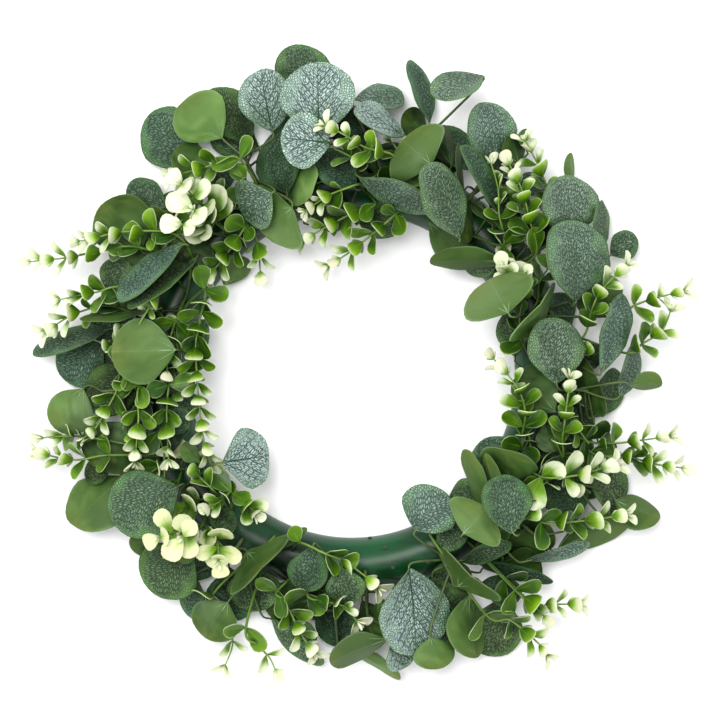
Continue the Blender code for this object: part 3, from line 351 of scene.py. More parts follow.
SPRIGS = (
    Sprig("upper_left", 119, (((240, 160, 50), (215, 166, 54), (172, 178, 50)),)),
    Sprig("white_rosettes", 133, (
        ((212, 215, 46), (197, 200, 66), (184, 186, 78)),
        ((215, 222, 44), (203, 216, 62), (196, 212, 74)),
        ((206, 232, 42), (194, 228, 60), (184, 226, 70)),
    )),
    Sprig("left_top", 146, (
        ((178, 236, 52), (125, 233, 56), (100, 238, 54), (80, 242, 50)),
        ((140, 248, 46), (95, 253, 46), (70, 258, 44), (30, 262, 38)),
    )),
    Sprig("left_long", 152, (
        ((190, 268, 46), (165, 288, 56), (145, 318, 58), (135, 335, 54)),
        ((176, 322, 44), (170, 345, 50), (168, 372, 50)),
    )),
    Sprig("hole_left", 159, (
        ((205, 290, 46), (200, 325, 54), (197, 350, 56), (200, 400, 56),
         (205, 440, 52), (212, 465, 46)),
    )),
    Sprig("left_tips", 167, (
        ((130, 290, 46), (95, 293, 46), (60, 300, 44)),
        ((120, 308, 38), (80, 312, 40), (45, 332, 36)),
    )),
    Sprig("left_fan", 175, (
        ((125, 368, 44), (118, 390, 46), (98, 425, 42), (85, 438, 38)),
        ((141, 385, 50), (140, 420, 54), (136, 462, 50)),
    )),
    Sprig("left_inner", 184, (
        ((170, 385, 50), (168, 410, 54), (170, 460, 52)),
        ((160, 430, 42), (165, 455, 46), (165, 485, 48)),
    )),
    Sprig("left_low_tips", 203, (
        ((110, 455, 36), (75, 460, 34), (36, 453, 26)),
        ((105, 440, 34), (70, 436, 34), (42, 438, 30)),
    )),
    Sprig("cream_rosettes", 221, (
        ((190, 520, 50), (178, 530, 66), (162, 534, 76)),
        ((203, 525, 50), (192, 532, 70), (186, 534, 84)),
        ((215, 530, 50), (220, 545, 66), (220, 558, 74)),
    )),
    Sprig("ring_left", 228, (
        ((232, 492, 44), (222, 500, 54), (210, 506, 58)),
        ((238, 496, 44), (256, 512, 56)),
    )),
    Sprig("bottom_left_tips", 241, (
        ((212, 596, 24), (226, 622, 24), (232, 645, 22), (224, 668, 18)),
        ((247, 625, 28), (258, 642, 28), (270, 655, 26), (276, 668, 22)),
    )),
    Sprig("bottom_long", 251, (
        ((300, 542, 46), (325, 552, 56), (345, 560, 56), (365, 575, 52),
         (378, 587, 48)),
    )),
    Sprig("bottom_whites", 257, (
        ((278, 590, 44), (285, 600, 48), (303, 635, 48), (315, 652, 44)),
        ((307, 593, 46), (325, 600, 50), (345, 605, 52), (357, 620, 50)),
    )),
    Sprig("bottom_right", 299, (
        ((486, 615, 30), (510, 620, 36), (538, 643, 34), (548, 656, 30)),
    )),
    Sprig("bottom_right_tips", 307, (
        ((505, 578, 34), (520, 592, 38), (545, 617, 36)),
        ((515, 590, 40), (535, 604, 40), (560, 604, 38), (580, 604, 34)),
    )),
    Sprig("right_low", 320, (((540, 521, 50), (565, 521, 53), (588, 519, 51), (626, 514, 44)),)),
    Sprig("right_white", 330, (((540, 476, 52), (577, 474, 58), (597, 468, 60), (612, 463, 58)),)),
    Sprig("hole_right", 338, (
        ((522, 447, 44), (522, 432, 50), (524, 413, 56), (519, 393, 58),
         (507, 375, 54), (492, 358, 46)),
    )),
    Sprig("right_spread", 345, (
        ((585, 440, 36), (612, 443, 42), (640, 440, 44), (670, 436, 38)),
        ((590, 452, 34), (625, 456, 38), (655, 464, 40), (683, 468, 34)),
    )),
    Sprig("right_upright", 352, (
        ((561, 455, 46), (561, 437, 54), (564, 410, 60), (568, 378, 58)),
    )),
    Sprig("right_upper", 7, (((580, 340, 44), (590, 310, 54), (600, 290, 56), (625, 265, 52)),)),
    Sprig("right_tips", 15, (
        ((620, 352, 36), (643, 343, 38), (662, 330, 38), (671, 310, 34)),
        ((610, 316, 34), (635, 305, 38), (655, 298, 38), (684, 291, 34)),
    )),
    Sprig("hole_white", 26, (
        ((512, 288, 46), (507, 276, 60), (503, 269, 70)),
        ((520, 284, 46), (524, 275, 62)),
    )),
    Sprig("upper_right", 36, (
        ((535, 255, 48), (528, 220, 56), (520, 190, 56), (508, 165, 50)),
        ((548, 215, 34), (544, 180, 38), (525, 140, 36)),
    )),
    Sprig("upper_right_inner", 45, (
        ((503, 245, 46), (498, 215, 54), (497, 190, 56), (490, 165, 54)),
    )),
    Sprig("top_right", 78, (((395, 160, 60), (365, 150, 68), (345, 138, 70), (325, 128, 68)),)),
    Sprig("hole_top", 86, (
        ((360, 185, 50), (345, 190, 54), (328, 197, 54), (305, 212, 50)),
        ((375, 205, 44), (350, 215, 46), (318, 232, 40), (303, 241, 34)),
    )),
    Sprig("hole_top_right", 70, (
        ((395, 215, 42), (368, 238, 40), (350, 252, 36), (328, 266, 28)),
    )),
    Sprig("hole_upper_left", 127, (
        ((245, 228, 42), (230, 250, 38), (208, 277, 34)),
        ((252, 228, 38), (258, 246, 34), (260, 272, 26)),
    )),
)


class Mesh(NamedTuple):
    """Points in millimetres and faces that look outwards."""

    points: list[Point]
    faces: list[Corners]


class Pose(NamedTuple):
    """Where a blade lies: its base, its three directions, its length and its width."""

    base: Point
    along: Point
    across: Point
    upward: Point
    length: float
    width: float


def plan(x_px: float, y_px: float, height: float = 0.0) -> Point:
    """A place in the photo as a point round the ring's centre."""
    offset = ((x_px - RING_CENTRE_X_PX) * MM_PER_PX, (RING_CENTRE_Y_PX - y_px) * MM_PER_PX)
    return RING_CENTRE + Vector((*offset, height))


def on_ring(radius: float, angle: float, height: float = 0.0) -> Point:
    """A point at a radius and an angle in degrees round the ring's centre."""
    turn = math.radians(angle)
    return RING_CENTRE + Vector((radius * math.cos(turn), radius * math.sin(turn), height))


def ring_radius(point: Point) -> float:
    """How far a point is from the ring's axis."""
    return (point - RING_CENTRE).xy.length


def ring_angle(point: Point) -> float:
    """The angle of a point round the ring's centre, from 0 to 360 degrees."""
    offset = point - RING_CENTRE
    return math.degrees(math.atan2(offset.y, offset.x)) % 360.0


def ring_top(radius: float) -> float:
    """The height of the ring's face at a radius."""
    share = (radius - RING_MIDDLE_RADIUS) / (RING_WIDTH / 2)
    return RING_HEIGHT * math.sqrt(max(0.0, 1.0 - share * share))


def half_round(arc_steps: int, grown: float = 0.0) -> list[Span]:
    """The ring's section, out along the face and back along the channel.

    Args:
        arc_steps: Into how many steps each half circle is cut.
        grown: How much thicker than the real wall it is, on each side.

    Returns:
        Radius and height of each corner.
    """
    outer = RING_WIDTH / 2 + grown
    inner = RING_WIDTH / 2 - RING_WALL - grown
    turns = [math.pi * step / arc_steps for step in range(arc_steps + 1)]
    face = [(-outer * math.cos(t), (RING_HEIGHT + grown) * math.sin(t)) for t in turns]
    channel = [
        (inner * math.cos(t), (RING_HEIGHT - RING_WALL - grown) * math.sin(t)) for t in turns
    ]
    return [(RING_MIDDLE_RADIUS + r, z) for r, z in face + channel]


def turned(profile: Sequence[Span], steps: int) -> Mesh:
    """A closed profile carried round the ring's axis.

    Args:
        profile: Radius and height of each corner of the section.
        steps: How many sections stand round the ring.

    Returns:
        The turned mesh.
    """
    count = len(profile)
    points: list[Point] = []
    faces: list[Corners] = []
    for step in range(steps):
        angle = 360.0 * step / steps
        points += [on_ring(radius, angle, z) for radius, z in profile]
        here = step * count
        there = (step + 1) % steps * count
        for i in range(count):
            j = (i + 1) % count
            faces.append((here + i, here + j, there + j, there + i))
    return Mesh(points, faces)


def tube(path: Path, radius: float, sides: int) -> Mesh:
    """A closed tube along a path of points.

    Args:
        path: The points of its centre line.
        radius: From the centre line to a corner.
        sides: How many sides it has.

    Returns:
        The tube's mesh.
    """
    points: list[Point] = []
    rings = len(path)
    side = None
    for i, point in enumerate(path):
        ahead = (path[min(i + 1, rings - 1)] - path[max(i - 1, 0)]).normalized()
        if side is None:
            side = ahead.orthogonal().normalized()
        side = (side - ahead * side.dot(ahead)).normalized()
        other = ahead.cross(side)
        for k in range(sides):
            angle = 2 * math.pi * k / sides
            points.append(point + (side * math.cos(angle) + other * math.sin(angle)) * radius)
    faces: list[Corners] = []
    for i in range(rings - 1):
        for k in range(sides):
            a = i * sides + k
            b = i * sides + (k + 1) % sides
            faces.append((a, b, b + sides, a + sides))
    faces.append(tuple(reversed(range(sides))))
    faces.append(tuple(range((rings - 1) * sides, rings * sides)))
    return Mesh(points, faces)


def joined(meshes: Iterable[Mesh]) -> Mesh:
    """Several meshes as one.

    Args:
        meshes: The meshes.

    Returns:
        One mesh with all their points and faces.
    """
    points: list[Point] = []
    faces: list[Corners] = []
    for mesh in meshes:
        faces += [tuple(len(points) + i for i in face) for face in mesh.faces]
        points += mesh.points
    return Mesh(points, faces)


def leaf_size(leaf: Leaf) -> tuple[float, float, float]:
    """A leaf's true length and width and its roll, from how far and how wide it looks.

    Args:
        leaf: The leaf as the table has it.

    Returns:
        The length, the width and the roll in radians.
    """
    reach = (plan(leaf.tip_x_px, leaf.tip_y_px) - plan(leaf.base_x_px, leaf.base_y_px)).length
    length = reach / math.cos(math.radians(leaf.dip))
    looks = leaf.width_px * MM_PER_PX
    most = looks / math.cos(math.radians(LEAF_MOST_ROLL))
    width = max(looks, min(LEAF_WIDEST_SHARE * length, most))
    return length, width, math.acos(min(1.0, looks / width))


def leaf_pose(leaf: Leaf, lift: float, tilt: float, roll_more: float, swing: float) -> Pose:
    """The leaf's pose. The side further from the ring's crest hangs lower.

    Args:
        leaf: The leaf as the table has it.
        lift: How far the blade is raised.
        tilt: Degrees that its tip is raised.
        roll_more: Degrees that it is rolled about its midrib.
        swing: Degrees that it is turned in plan.

    Returns:
        The blade's place and directions.
    """
    length, width, roll = leaf_size(leaf)
    base = plan(leaf.base_x_px, leaf.base_y_px)
    tip = plan(leaf.tip_x_px, leaf.tip_y_px)
    reach = (tip - base).length
    heading = (tip - base).normalized()
    swung = math.radians(swing)
    heading = Vector((
        heading.x * math.cos(swung) - heading.y * math.sin(swung),
        heading.x * math.sin(swung) + heading.y * math.cos(swung),
        0.0,
    ))
    dip = math.radians(leaf.dip + tilt)
    length = min(length, reach / math.cos(dip))
    base.z = leaf.height + lift - math.sin(dip) * length / 2
    along = heading * math.cos(dip) + Vector((0.0, 0.0, math.sin(dip)))
    level = Vector((-heading.y, heading.x, 0.0))
    middle = base + heading * length / 2
    outward = (middle - RING_CENTRE).xy.to_3d()
    beyond = 1.0 if ring_radius(middle) > RING_MIDDLE_RADIUS else -1.0
    lean = -beyond if level.dot(outward) > 0 else beyond
    turn = lean * roll + math.radians(roll_more)
    width = min(width, leaf.width_px * MM_PER_PX / math.cos(turn))
    upward = along.cross(level)
    across = level * math.cos(turn) + upward * math.sin(turn)
    return Pose(base, along, across, along.cross(across), length, width)


def stub_corners(pose: Pose, radius: float) -> list[Point]:
    """Three corners each for a stalk's stub and for the foot of its blade.

    Args:
        pose: Where the blade lies.
        radius: The stalk's radius.

    Returns:
        The six corners, those of the stub first.
    """
    low = math.sin(math.pi / 6) * radius
    wide = math.cos(math.pi / 6) * radius
    stub = pose.base - pose.along * STALK_RADIUS
    back = (pose.base - stub).normalized()
    level = pose.across
    corners: list[Point] = []
    for place, along in ((pose.base, pose.along), (stub, (back + back).normalized())):
        level = (level - along * level.dot(along)).normalized()
        upward = along.cross(level)
        corners = [place + level * wide + upward * low, place - level * wide + upward * low,
                   place - upward * radius] + corners
    return corners


def leaf_guard(leaf: Leaf, pose: Pose, grown: float) -> Mesh:
    """The space that a blade and the stub of its stalk need.

    Args:
        leaf: The leaf as the table has it.
        pose: Where its blade lies.
        grown: The room kept round it.

    Returns:
        A closed mesh, the same as the grown solid in the part's source.
    """
    cup = LEAF_CUP * (-1.0 if leaf.face == BACK else 1.0)
    half = LEAF_THICKNESS / 2 + grown
    spots = [(share, side) for share, wide in LEAF_ROWS for side in (wide, 0.0, -wide)]
    spots += [(1.0, LEAF_TIP_HALF), (1.0, -LEAF_TIP_HALF)]
    points = stub_corners(pose, STALK_RADIUS + grown)
    stub, under = len(points), len(spots)
    for lift in (half, -half):
        for share, side in spots:
            rise = cup * pose.width * (side * side - share * share) + lift
            points.append(
                pose.base
                + pose.along * (share * (pose.length + grown))
                + pose.across * (side * (pose.width + 2 * grown))
                + pose.upward * rise
            )
    left_neck, right_neck, low_neck = range(stub - 3, stub)
    (left, middle, right, far_left, far_middle, far_right,
     tip_left, tip_right) = range(stub, stub + under)
    skin = [
        (right, far_right, far_middle), (right, far_middle, middle),
        (middle, far_middle, far_left), (middle, far_left, left),
        (far_right, tip_right, far_middle), (far_middle, tip_right, tip_left),
        (far_middle, tip_left, far_left),
    ]
    edge = [right, far_right, tip_right, tip_left, far_left, left]
    upper = [right_neck, *edge, left_neck]
    lower = [low_neck, *(i + under for i in edge), low_neck]
    faces: list[Corners] = [
        (2, 1, 0), (0, 1, 4, 3), (1, 2, 5, 4), (2, 0, 3, 5),
        (right_neck, right, middle), (right_neck, middle, left_neck),
        (left_neck, middle, left),
        (low_neck, middle + under, right + under), (low_neck, left + under, middle + under),
    ]
    faces += skin + [(c + under, b + under, a + under) for a, b, c in skin]
    for a, b, under_a, under_b in zip(upper, upper[1:], lower, lower[1:]):
        faces += [(under_a, under_b, b), (under_a, b, a)]
    return Mesh(points, faces)


class Pair(NamedTuple):
    """Two opposite small leaves: their place on the stem, its direction there, and sizes."""

    distance: float
    place: Point
    axis: Point
    azimuth: float
    opening: float
    length: float
    width: float

    def radial(self) -> Point:
        """The level direction across the stem, turned about it by the azimuth.

        Returns:
            A direction of length 1.
        """
        side = Vector((-self.axis.y, self.axis.x, 0.0))
        side = side.normalized() if side.length > STEEP else self.axis.orthogonal().normalized()
        turn = math.radians(self.azimuth)
        return side * math.cos(turn) + self.axis.cross(side) * math.sin(turn)

    def directions(self, sign: float) -> tuple[Point, Point]:
        """The direction in which one leaf runs, and its normal.

        Args:
            sign: 1 for the one leaf and -1 for the other.

        Returns:
            Both, of length 1.
        """
        spread = math.radians(self.opening)
        radial = self.radial() * sign
        along = radial * math.sin(spread) + self.axis * math.cos(spread)
        normal = self.axis * math.sin(spread) - radial * math.cos(spread)
        return along, normal

    def leaf(self, sign: float) -> tuple[Point, Point, Point]:
        """The middle of one leaf's widest part, its tip and its normal.

        Args:
            sign: 1 for the one leaf and -1 for the other.

        Returns:
            Two points and a direction.
        """
        along, normal = self.directions(sign)
        widest = self.place + along * (self.length * PAIR_WIDEST_AT)
        tip = self.place + along * self.length + normal * (PAIR_CUP * self.width)
        return widest, tip, normal


def pair_guard(leaves: Pair) -> Mesh:
    """The space that a pair of small leaves needs, as one closed blade.

    Args:
        leaves: The pair.

    Returns:
        A closed mesh, with the room kept round it.
    """
    flank = leaves.axis.cross(leaves.radial())
    half = PAIR_THICKNESS / 2 + CLEARANCE
    sections = [(leaves.place, PAIR_NECK, leaves.axis)]
    for sign in (1.0, -1.0):
        widest, tip, normal = leaves.leaf(sign)
        sections += [(widest, leaves.width / 2 + CLEARANCE, normal), (tip, PAIR_NECK, normal)]
    high = [middle + flank * side + normal * half
            for middle, reach, normal in sections for side in (-reach, reach)]
    low = [middle + flank * side - normal * half
           for middle, reach, normal in sections for side in (-reach, reach)]
    quads: list[Corners] = [(0, 2, 3, 1), (2, 4, 5, 3), (1, 7, 6, 0), (7, 9, 8, 6)]
    outline = [4, 5, 3, 1, 7, 9, 8, 6, 0, 2]
    count = len(high)
    faces = quads + [tuple(i + count for i in reversed(quad)) for quad in quads]
    for a, b in zip(outline, outline[1:] + outline[:1]):
        faces.append((a + count, b + count, b, a))
    return Mesh(high + low, faces)


def bounds(mesh: Mesh) -> tuple[Point, Point]:
    """The lowest and the highest corner of a mesh's box."""
    coordinates = list(zip(*mesh.points))
    return Vector([min(c) for c in coordinates]), Vector([max(c) for c in coordinates])


def boxes_meet(
    low: Point, high: Point, other_low: Point, other_high: Point, axes: int = 3
) -> bool:
    """Whether two boxes meet, on all axes or in plan only."""
    return all(low[i] <= other_high[i] and high[i] >= other_low[i] for i in range(axes))


class Space:
    """What already stands in the wreath, so that a new piece can be kept clear of it."""

    def __init__(self) -> None:
        """Starts empty."""
        self.held: list[tuple[str, str, Point, Point, BVHTree]] = []

    def add(self, node: str, role: str, mesh: Mesh) -> None:
        """Keeps a piece, with the node and the role that it has there."""
        tree = BVHTree.FromPolygons(mesh.points, mesh.faces)
        self.held.append((node, role, *bounds(mesh), tree))

    def clear(self, node: str, mesh: Mesh, own_roles: Sequence[str] = ("blade",)) -> bool:
        """Whether a piece meets nothing but pieces of its own node in other roles.

        Args:
            node: The node that it belongs to.
            mesh: The piece, with its room round it.
            own_roles: The roles of its own node's pieces that it also keeps clear of.

        Returns:
            True if there is room for it.
        """
        low, high = bounds(mesh)
        if low.z < LOWEST_POINT or high.z > HIGHEST_POINT:
            return False
        tree = None
        for other, role, other_low, other_high, other_tree in self.held:
            if other == node and role not in own_roles:
                continue
            if not boxes_meet(low, high, other_low, other_high):
                continue
            tree = tree or BVHTree.FromPolygons(mesh.points, mesh.faces)
            if tree.overlap(other_tree):
                return False
        return True

    def covers(self, point: Point) -> bool:
        """Whether a kept blade lies above or below a point, seen from straight above."""
        top = Vector((point.x, point.y, HIGHEST_POINT))
        return any(
            role == "blade" and boxes_meet(point, point, low, high, 2)
            and tree.ray_cast(top, DOWN)[0] is not None
            for _, role, low, high, tree in self.held)

    def hides(self, mesh: Mesh, most: float) -> bool:
        """Whether kept blades lie straight below more than this share of a mesh's points.

        Args:
            mesh: The mesh.
            most: The share that may lie over blades.

        Returns:
            True if it hides more.
        """
        low, high = bounds(mesh)
        hidden = set()
        for _, role, other_low, other_high, tree in self.held:
            under = role == "blade" and other_low.z <= high.z
            if under and boxes_meet(low, high, other_low, other_high, 2):
                hidden |= {i for i, point in enumerate(mesh.points)
                           if i not in hidden and tree.ray_cast(point, DOWN)[0]}
        return len(hidden) > most * len(mesh.points)


def by_cost(*choices: Iterable[Span]) -> list[tuple[float, ...]]:
    """Every combination of (value, cost) choices, the cheapest first."""
    combined = sorted(product(*choices), key=lambda picks: sum(cost for _, cost in picks))
    return [tuple(value for value, _ in picks) for picks in combined]


def both_ways(values: Iterable[float], cost: float) -> list[Span]:
    """Zero and each value either way, at a cost for each unit.

    Args:
        values: The values.
        cost: What a unit costs.

    Returns:
        The choices, each with its cost.
    """
    ways = [(0.0, 0.0)]
    for value in values:
        ways += [(value, value * cost), (-value, value * cost * BACKWARD_COST)]
    return ways


LEAF_MOVES = by_cost(
    both_ways(LIFTS, LIFT_COST),
    both_ways(TILTS, TILT_COST),
    both_ways(ROLLS, ROLL_COST),
    both_ways(SWINGS, SWING_COST),
)
UNDERGROWTH_MOVES = by_cost(
    both_ways([UNDERGROWTH_NUDGE], LIFT_COST), both_ways(TILTS[:2], TILT_COST),
    both_ways(ROLLS[:1], ROLL_COST), [(0.0, 0.0)])
STEM_MOVES = by_cost(STEM_RISES, both_ways(LIFTS, LIFT_COST))
PAIR_MOVES = by_cost(both_ways(PAIR_TURNS, PAIR_TURN_COST), PAIR_OPENINGS, PAIR_SCALES)


def along_path(path: Path, distance: float) -> tuple[Point, Point]:
    """The point and the direction at a distance along a path.

    Args:
        path: The path.
        distance: How far from its start.

    Returns:
        The point and the direction.
    """
    for a, b in zip(path, path[1:]):
        step = (b - a).length
        if distance <= step:
            return a.lerp(b, distance / step), (b - a).normalized()
        distance -= step
    return path[-1], (path[-1] - path[-2]).normalized()


def path_length(path: Path) -> float:
    """How long a path is."""
    return sum((b - a).length for a, b in zip(path, path[1:]))


def leafy_reach(path: Path) -> tuple[float, float, int]:
    """A stem's bare stretch, its leafy stretch, and how many gaps part its pairs.

    Args:
        path: The stem.

    Returns:
        Both lengths and the number of gaps.
    """
    bare = (path[1] - path[0]).length
    span = path_length(path) - bare - PAIR_NECK
    return bare, span, max(LEAST_PAIRS, round(span / PAIR_STEP) + 1) - 1


class Blade(NamedTuple):
    """A placed large leaf and the centre line of its stalk."""

    leaf: Leaf
    pose: Pose
    stalk: list[Point]


@dataclass
class Plant:
    """What one peg carries, with a search for room for each of its pieces."""

    name: str
    space: Space
    peg: Point
    radius: float
    blades: list[Blade] = field(default_factory=list)
    stems: list[list[Point]] = field(default_factory=list)
    pairs: list[list[Pair]] = field(default_factory=list)
    used_starts: list[Point] = field(default_factory=list)
    rise: float | None = None
    main_stems: int = 0

    def __post_init__(self) -> None:
        """Keeps room for the peg."""
        guard = tube([self.foot(), self.crown()], self.radius + CLEARANCE, PEG_SIDES)
        self.space.add(self.name, "stem", guard)

    def foot(self) -> Point:
        """The bottom of the peg, inside the ring's channel."""
        return self.peg + Vector((0, 0, PEG_FOOT))

    def crown(self) -> Point:
        """The top of the peg, where its stems begin."""
        return self.peg + Vector((0, 0, ring_top(ring_radius(self.peg)) + PEG_RISE))

    def place_stem(self, route: Path) -> None:
        """Finds a way for a stem along a route, moved up or down until it is clear.

        Args:
            route: The points that follow the peg's top.
        """
        for rise, lift in STEM_MOVES:
            if self.stems:
                rise = self.rise - STEM_SUNK
            path = [self.crown() + Vector((0, 0, rise))]
            path += [point + Vector((0, 0, lift)) for point in route]
            guard = tube(path, self.radius + CLEARANCE, PEG_SIDES)
            if self.space.clear(self.name, guard, ()):
                self.space.add(self.name, "stem", guard)
                self.stems.append(path)
                self.rise = rise if self.rise is None else self.rise
                return
        LOG.warning("no room for a stem of %s", self.name)

    def add_side_stem(self, route: Path) -> None:
        """Adds a side stem with its pairs, if its route is clear and it gets enough pairs.

        Args:
            route: The points that follow the peg's top.
        """
        path = [self.crown() + Vector((0, 0, self.rise - STEM_SUNK))] + list(route)
        guard = tube(path, self.radius + CLEARANCE, PEG_SIDES)
        beyond = tube(path[1:], self.radius + CLEARANCE, PEG_SIDES)
        if (self.space.clear(self.name, guard, ("blade",))
                and self.space.clear(self.name, beyond, ("stem",))):
            self.space.add(self.name, "stem", guard)
            self.stems.append(path)
            self.leaf_out(path)
            self.pairs[-1] += self.fill_out(path)

    def starts(self, base: Point) -> list[Point]:
        """Points on the stems from which a stalk may leave, the nearest first.

        Args:
            base: The foot of the blade that the stalk is for.

        Returns:
            A few points that no other stalk has taken.
        """
        found: list[Point] = []
        for path in self.stems:
            for a, b in zip(path, path[1:]):
                found += [a.lerp(b, share) for share in STALK_STARTS]
        free = [point for point in found if point not in self.used_starts]
        return sorted(free, key=lambda point: (point - base).length)[:STALK_TRIES]

    def grow_leaf(
        self, leaf: Leaf, moves: Sequence[tuple[float, ...]], hidden: float = 1.0
    ) -> bool:
        """Finds the first pose of a large leaf, and way for its stalk, that has room.

        Args:
            leaf: The leaf as the table has it.
            moves: The lifts, tilts, rolls and swings to try, in order.
            hidden: How much of it may hide other leaves from above.

        Returns:
            True if the leaf was placed.
        """
        for lift, tilt, roll, swing in moves:
            pose = leaf_pose(leaf, lift, tilt, roll, swing)
            guard = leaf_guard(leaf, pose, CLEARANCE)
            if not self.space.clear(self.name, guard, ("blade", "stalk", "stem")):
                continue
            if hidden < 1.0 and self.space.hides(guard, hidden):
                return False
            for start, bow in product(self.starts(pose.base), STALK_BOWS):
                knee = pose.base - pose.along * STALK_KNEE
                knee += pose.upward * bow[0] + pose.across * bow[1]
                if (knee - start).normalized().dot((pose.base - knee).normalized()) < SHARPEST:
                    continue
                away = start + (knee - start).normalized() * STALK_FREE
                bent = [away, knee, pose.base]
                stalk_guard = tube(bent, STALK_RADIUS + CLEARANCE, STALK_SIDES)
                if self.space.clear(self.name, stalk_guard, ("blade", "stalk")):
                    self.blades.append(Blade(leaf, pose, [start, knee, pose.base]))
                    self.space.add(self.name, "blade", guard)
                    self.space.add(self.name, "stalk", stalk_guard)
                    self.used_starts.append(start)
                    return True
        return False

    def leaf_out(self, path: Path) -> None:
        """Places the small leaves of one stem: crossed pairs, smaller to the tip."""
        _, _, gaps = leafy_reach(path)
        self.pairs.append(self.fitted_pairs(path, gaps, range(gaps + 1)))

    def fill_out(self, path: Path) -> list[Pair]:
        """The finer pairs that the solids leave out, between those that they have."""
        step = FINE_PAIRS_BETWEEN + 1
        steps = leafy_reach(path)[2] * step
        return self.fitted_pairs(path, steps, [i for i in range(steps) if i % step])

    def fitted_pairs(
        self, path: Path, steps: int, chosen: Iterable[int]
    ) -> list[Pair]:
        """The pairs of one stem that have room, each a quarter turn from the one before.

        Args:
            path: The stem.
            steps: Into how many steps its leafy stretch is cut.
            chosen: At which steps a pair is tried.

        Returns:
            The pairs.
        """
        return [pair for i in chosen
                for pair in self.fit_pair(self.pair_at(path, i / steps, QUARTER_TURN * (i % 2)))]

    def pair_at(self, path: Path, share: float, azimuth: float) -> Pair:
        """A pair at a share of the way from a stem's first leaves to its tip.

        Args:
            path: The stem.
            share: The share of the way.
            azimuth: How far it is turned about the stem, in degrees.

        Returns:
            The pair, which isn't yet known to have room.
        """
        tip_length, tip_opening = PAIR_TIP_LENGTH_AND_OPENING
        if self.name.endswith("rosettes"):
            tip_length, tip_opening = ROSETTE_TIP_LENGTH_AND_OPENING
        bare, span, _ = leafy_reach(path)
        distance = bare + share * span
        place, axis = along_path(path, distance)
        length = PAIR_ROOT_LENGTH + (tip_length - PAIR_ROOT_LENGTH) * share
        opening = PAIR_ROOT_OPENING + (tip_opening - PAIR_ROOT_OPENING) * share
        return Pair(distance, place, axis, azimuth, opening, length,
                    length * PAIR_WIDTH_SHARE)

    def fit_pair(self, leaves: Pair) -> list[Pair]:
        """The pair, turned or narrowed until it has room, or nothing.

        Args:
            leaves: The pair as it would lie alone.

        Returns:
            A list of the one pair, or an empty one.
        """
        for turn, opening, scale in PAIR_MOVES:
            fitted = leaves._replace(
                azimuth=leaves.azimuth + turn, opening=leaves.opening + opening,
                length=leaves.length * scale, width=leaves.width * scale)
            guard = pair_guard(fitted)
            if self.space.clear(self.name, guard):
                self.space.add(self.name, "blade", guard)
                return [fitted]
        return []


def facet_middle(angle: float, taken: Sequence[int] = ()) -> tuple[int, float]:
    """The number and the middle angle of the ring's nearest free facet.

    Args:
        angle: An angle round the ring, in degrees.
        taken: Facets that other pegs stand on.

    Returns:
        The facet and its middle's angle.
    """
    step = 360.0 / RING_STEPS
    facet = int(angle // step)
    for shift in FACET_SHIFTS:
        if (facet + shift) % RING_STEPS not in taken:
            facet = (facet + shift) % RING_STEPS
            break
    return facet, (facet + 0.5) * step


def turn_between(point: Point, angle: float) -> float:
    """How far round the ring a point is from an angle, in degrees."""
    return abs((ring_angle(point) - angle + 180.0) % 360.0 - 180.0)


def over_greenery(point: Point) -> bool:
    """Whether a point is over the leafy band, away from the hole and the bare stretch."""
    (low, high), (first, last) = SIDE_STEM_RADII, BARE_STRETCH
    return low < ring_radius(point) < high and not first < ring_angle(point) < last


def spray_groups() -> dict[int, list[Leaf]]:
    """The large leaves, grouped by the sector of the ring over which their bases lie.

    Returns:
        The leaves of each sector that has any.
    """
    groups: dict[int, list[Leaf]] = {}
    for leaf in LEAVES:
        angle = ring_angle(plan(leaf.base_x_px, leaf.base_y_px))
        groups.setdefault(int(angle // SPRAY_SECTOR), []).append(leaf)
    return groups


def spray_route(leaves: Sequence[Leaf], angle: float) -> list[Point]:
    """The stem's way out from the ring towards its leaves.

    Args:
        leaves: The spray's leaves.
        angle: The angle of its peg.

    Returns:
        The points that follow the peg's top.
    """
    bases = [plan(leaf.base_x_px, leaf.base_y_px) for leaf in leaves]
    outer = [b for b in bases if ring_radius(b) > RING_MIDDLE_RADIUS] or bases
    reach = sum(ring_radius(b) for b in outer) / len(outer)
    reach = min(max(reach, SPRAY_STEM_LEAST_RADIUS_IN_PLAN), SPRAY_STEM_MOST_RADIUS_IN_PLAN)
    halfway = (SPRAY_PEG_RADIUS_IN_PLAN + reach) / 2
    return [on_ring(halfway, angle, SPRAY_STEM_HEIGHT),
            on_ring(reach, angle, SPRAY_STEM_HEIGHT - SPRAY_STEM_DROOP)]


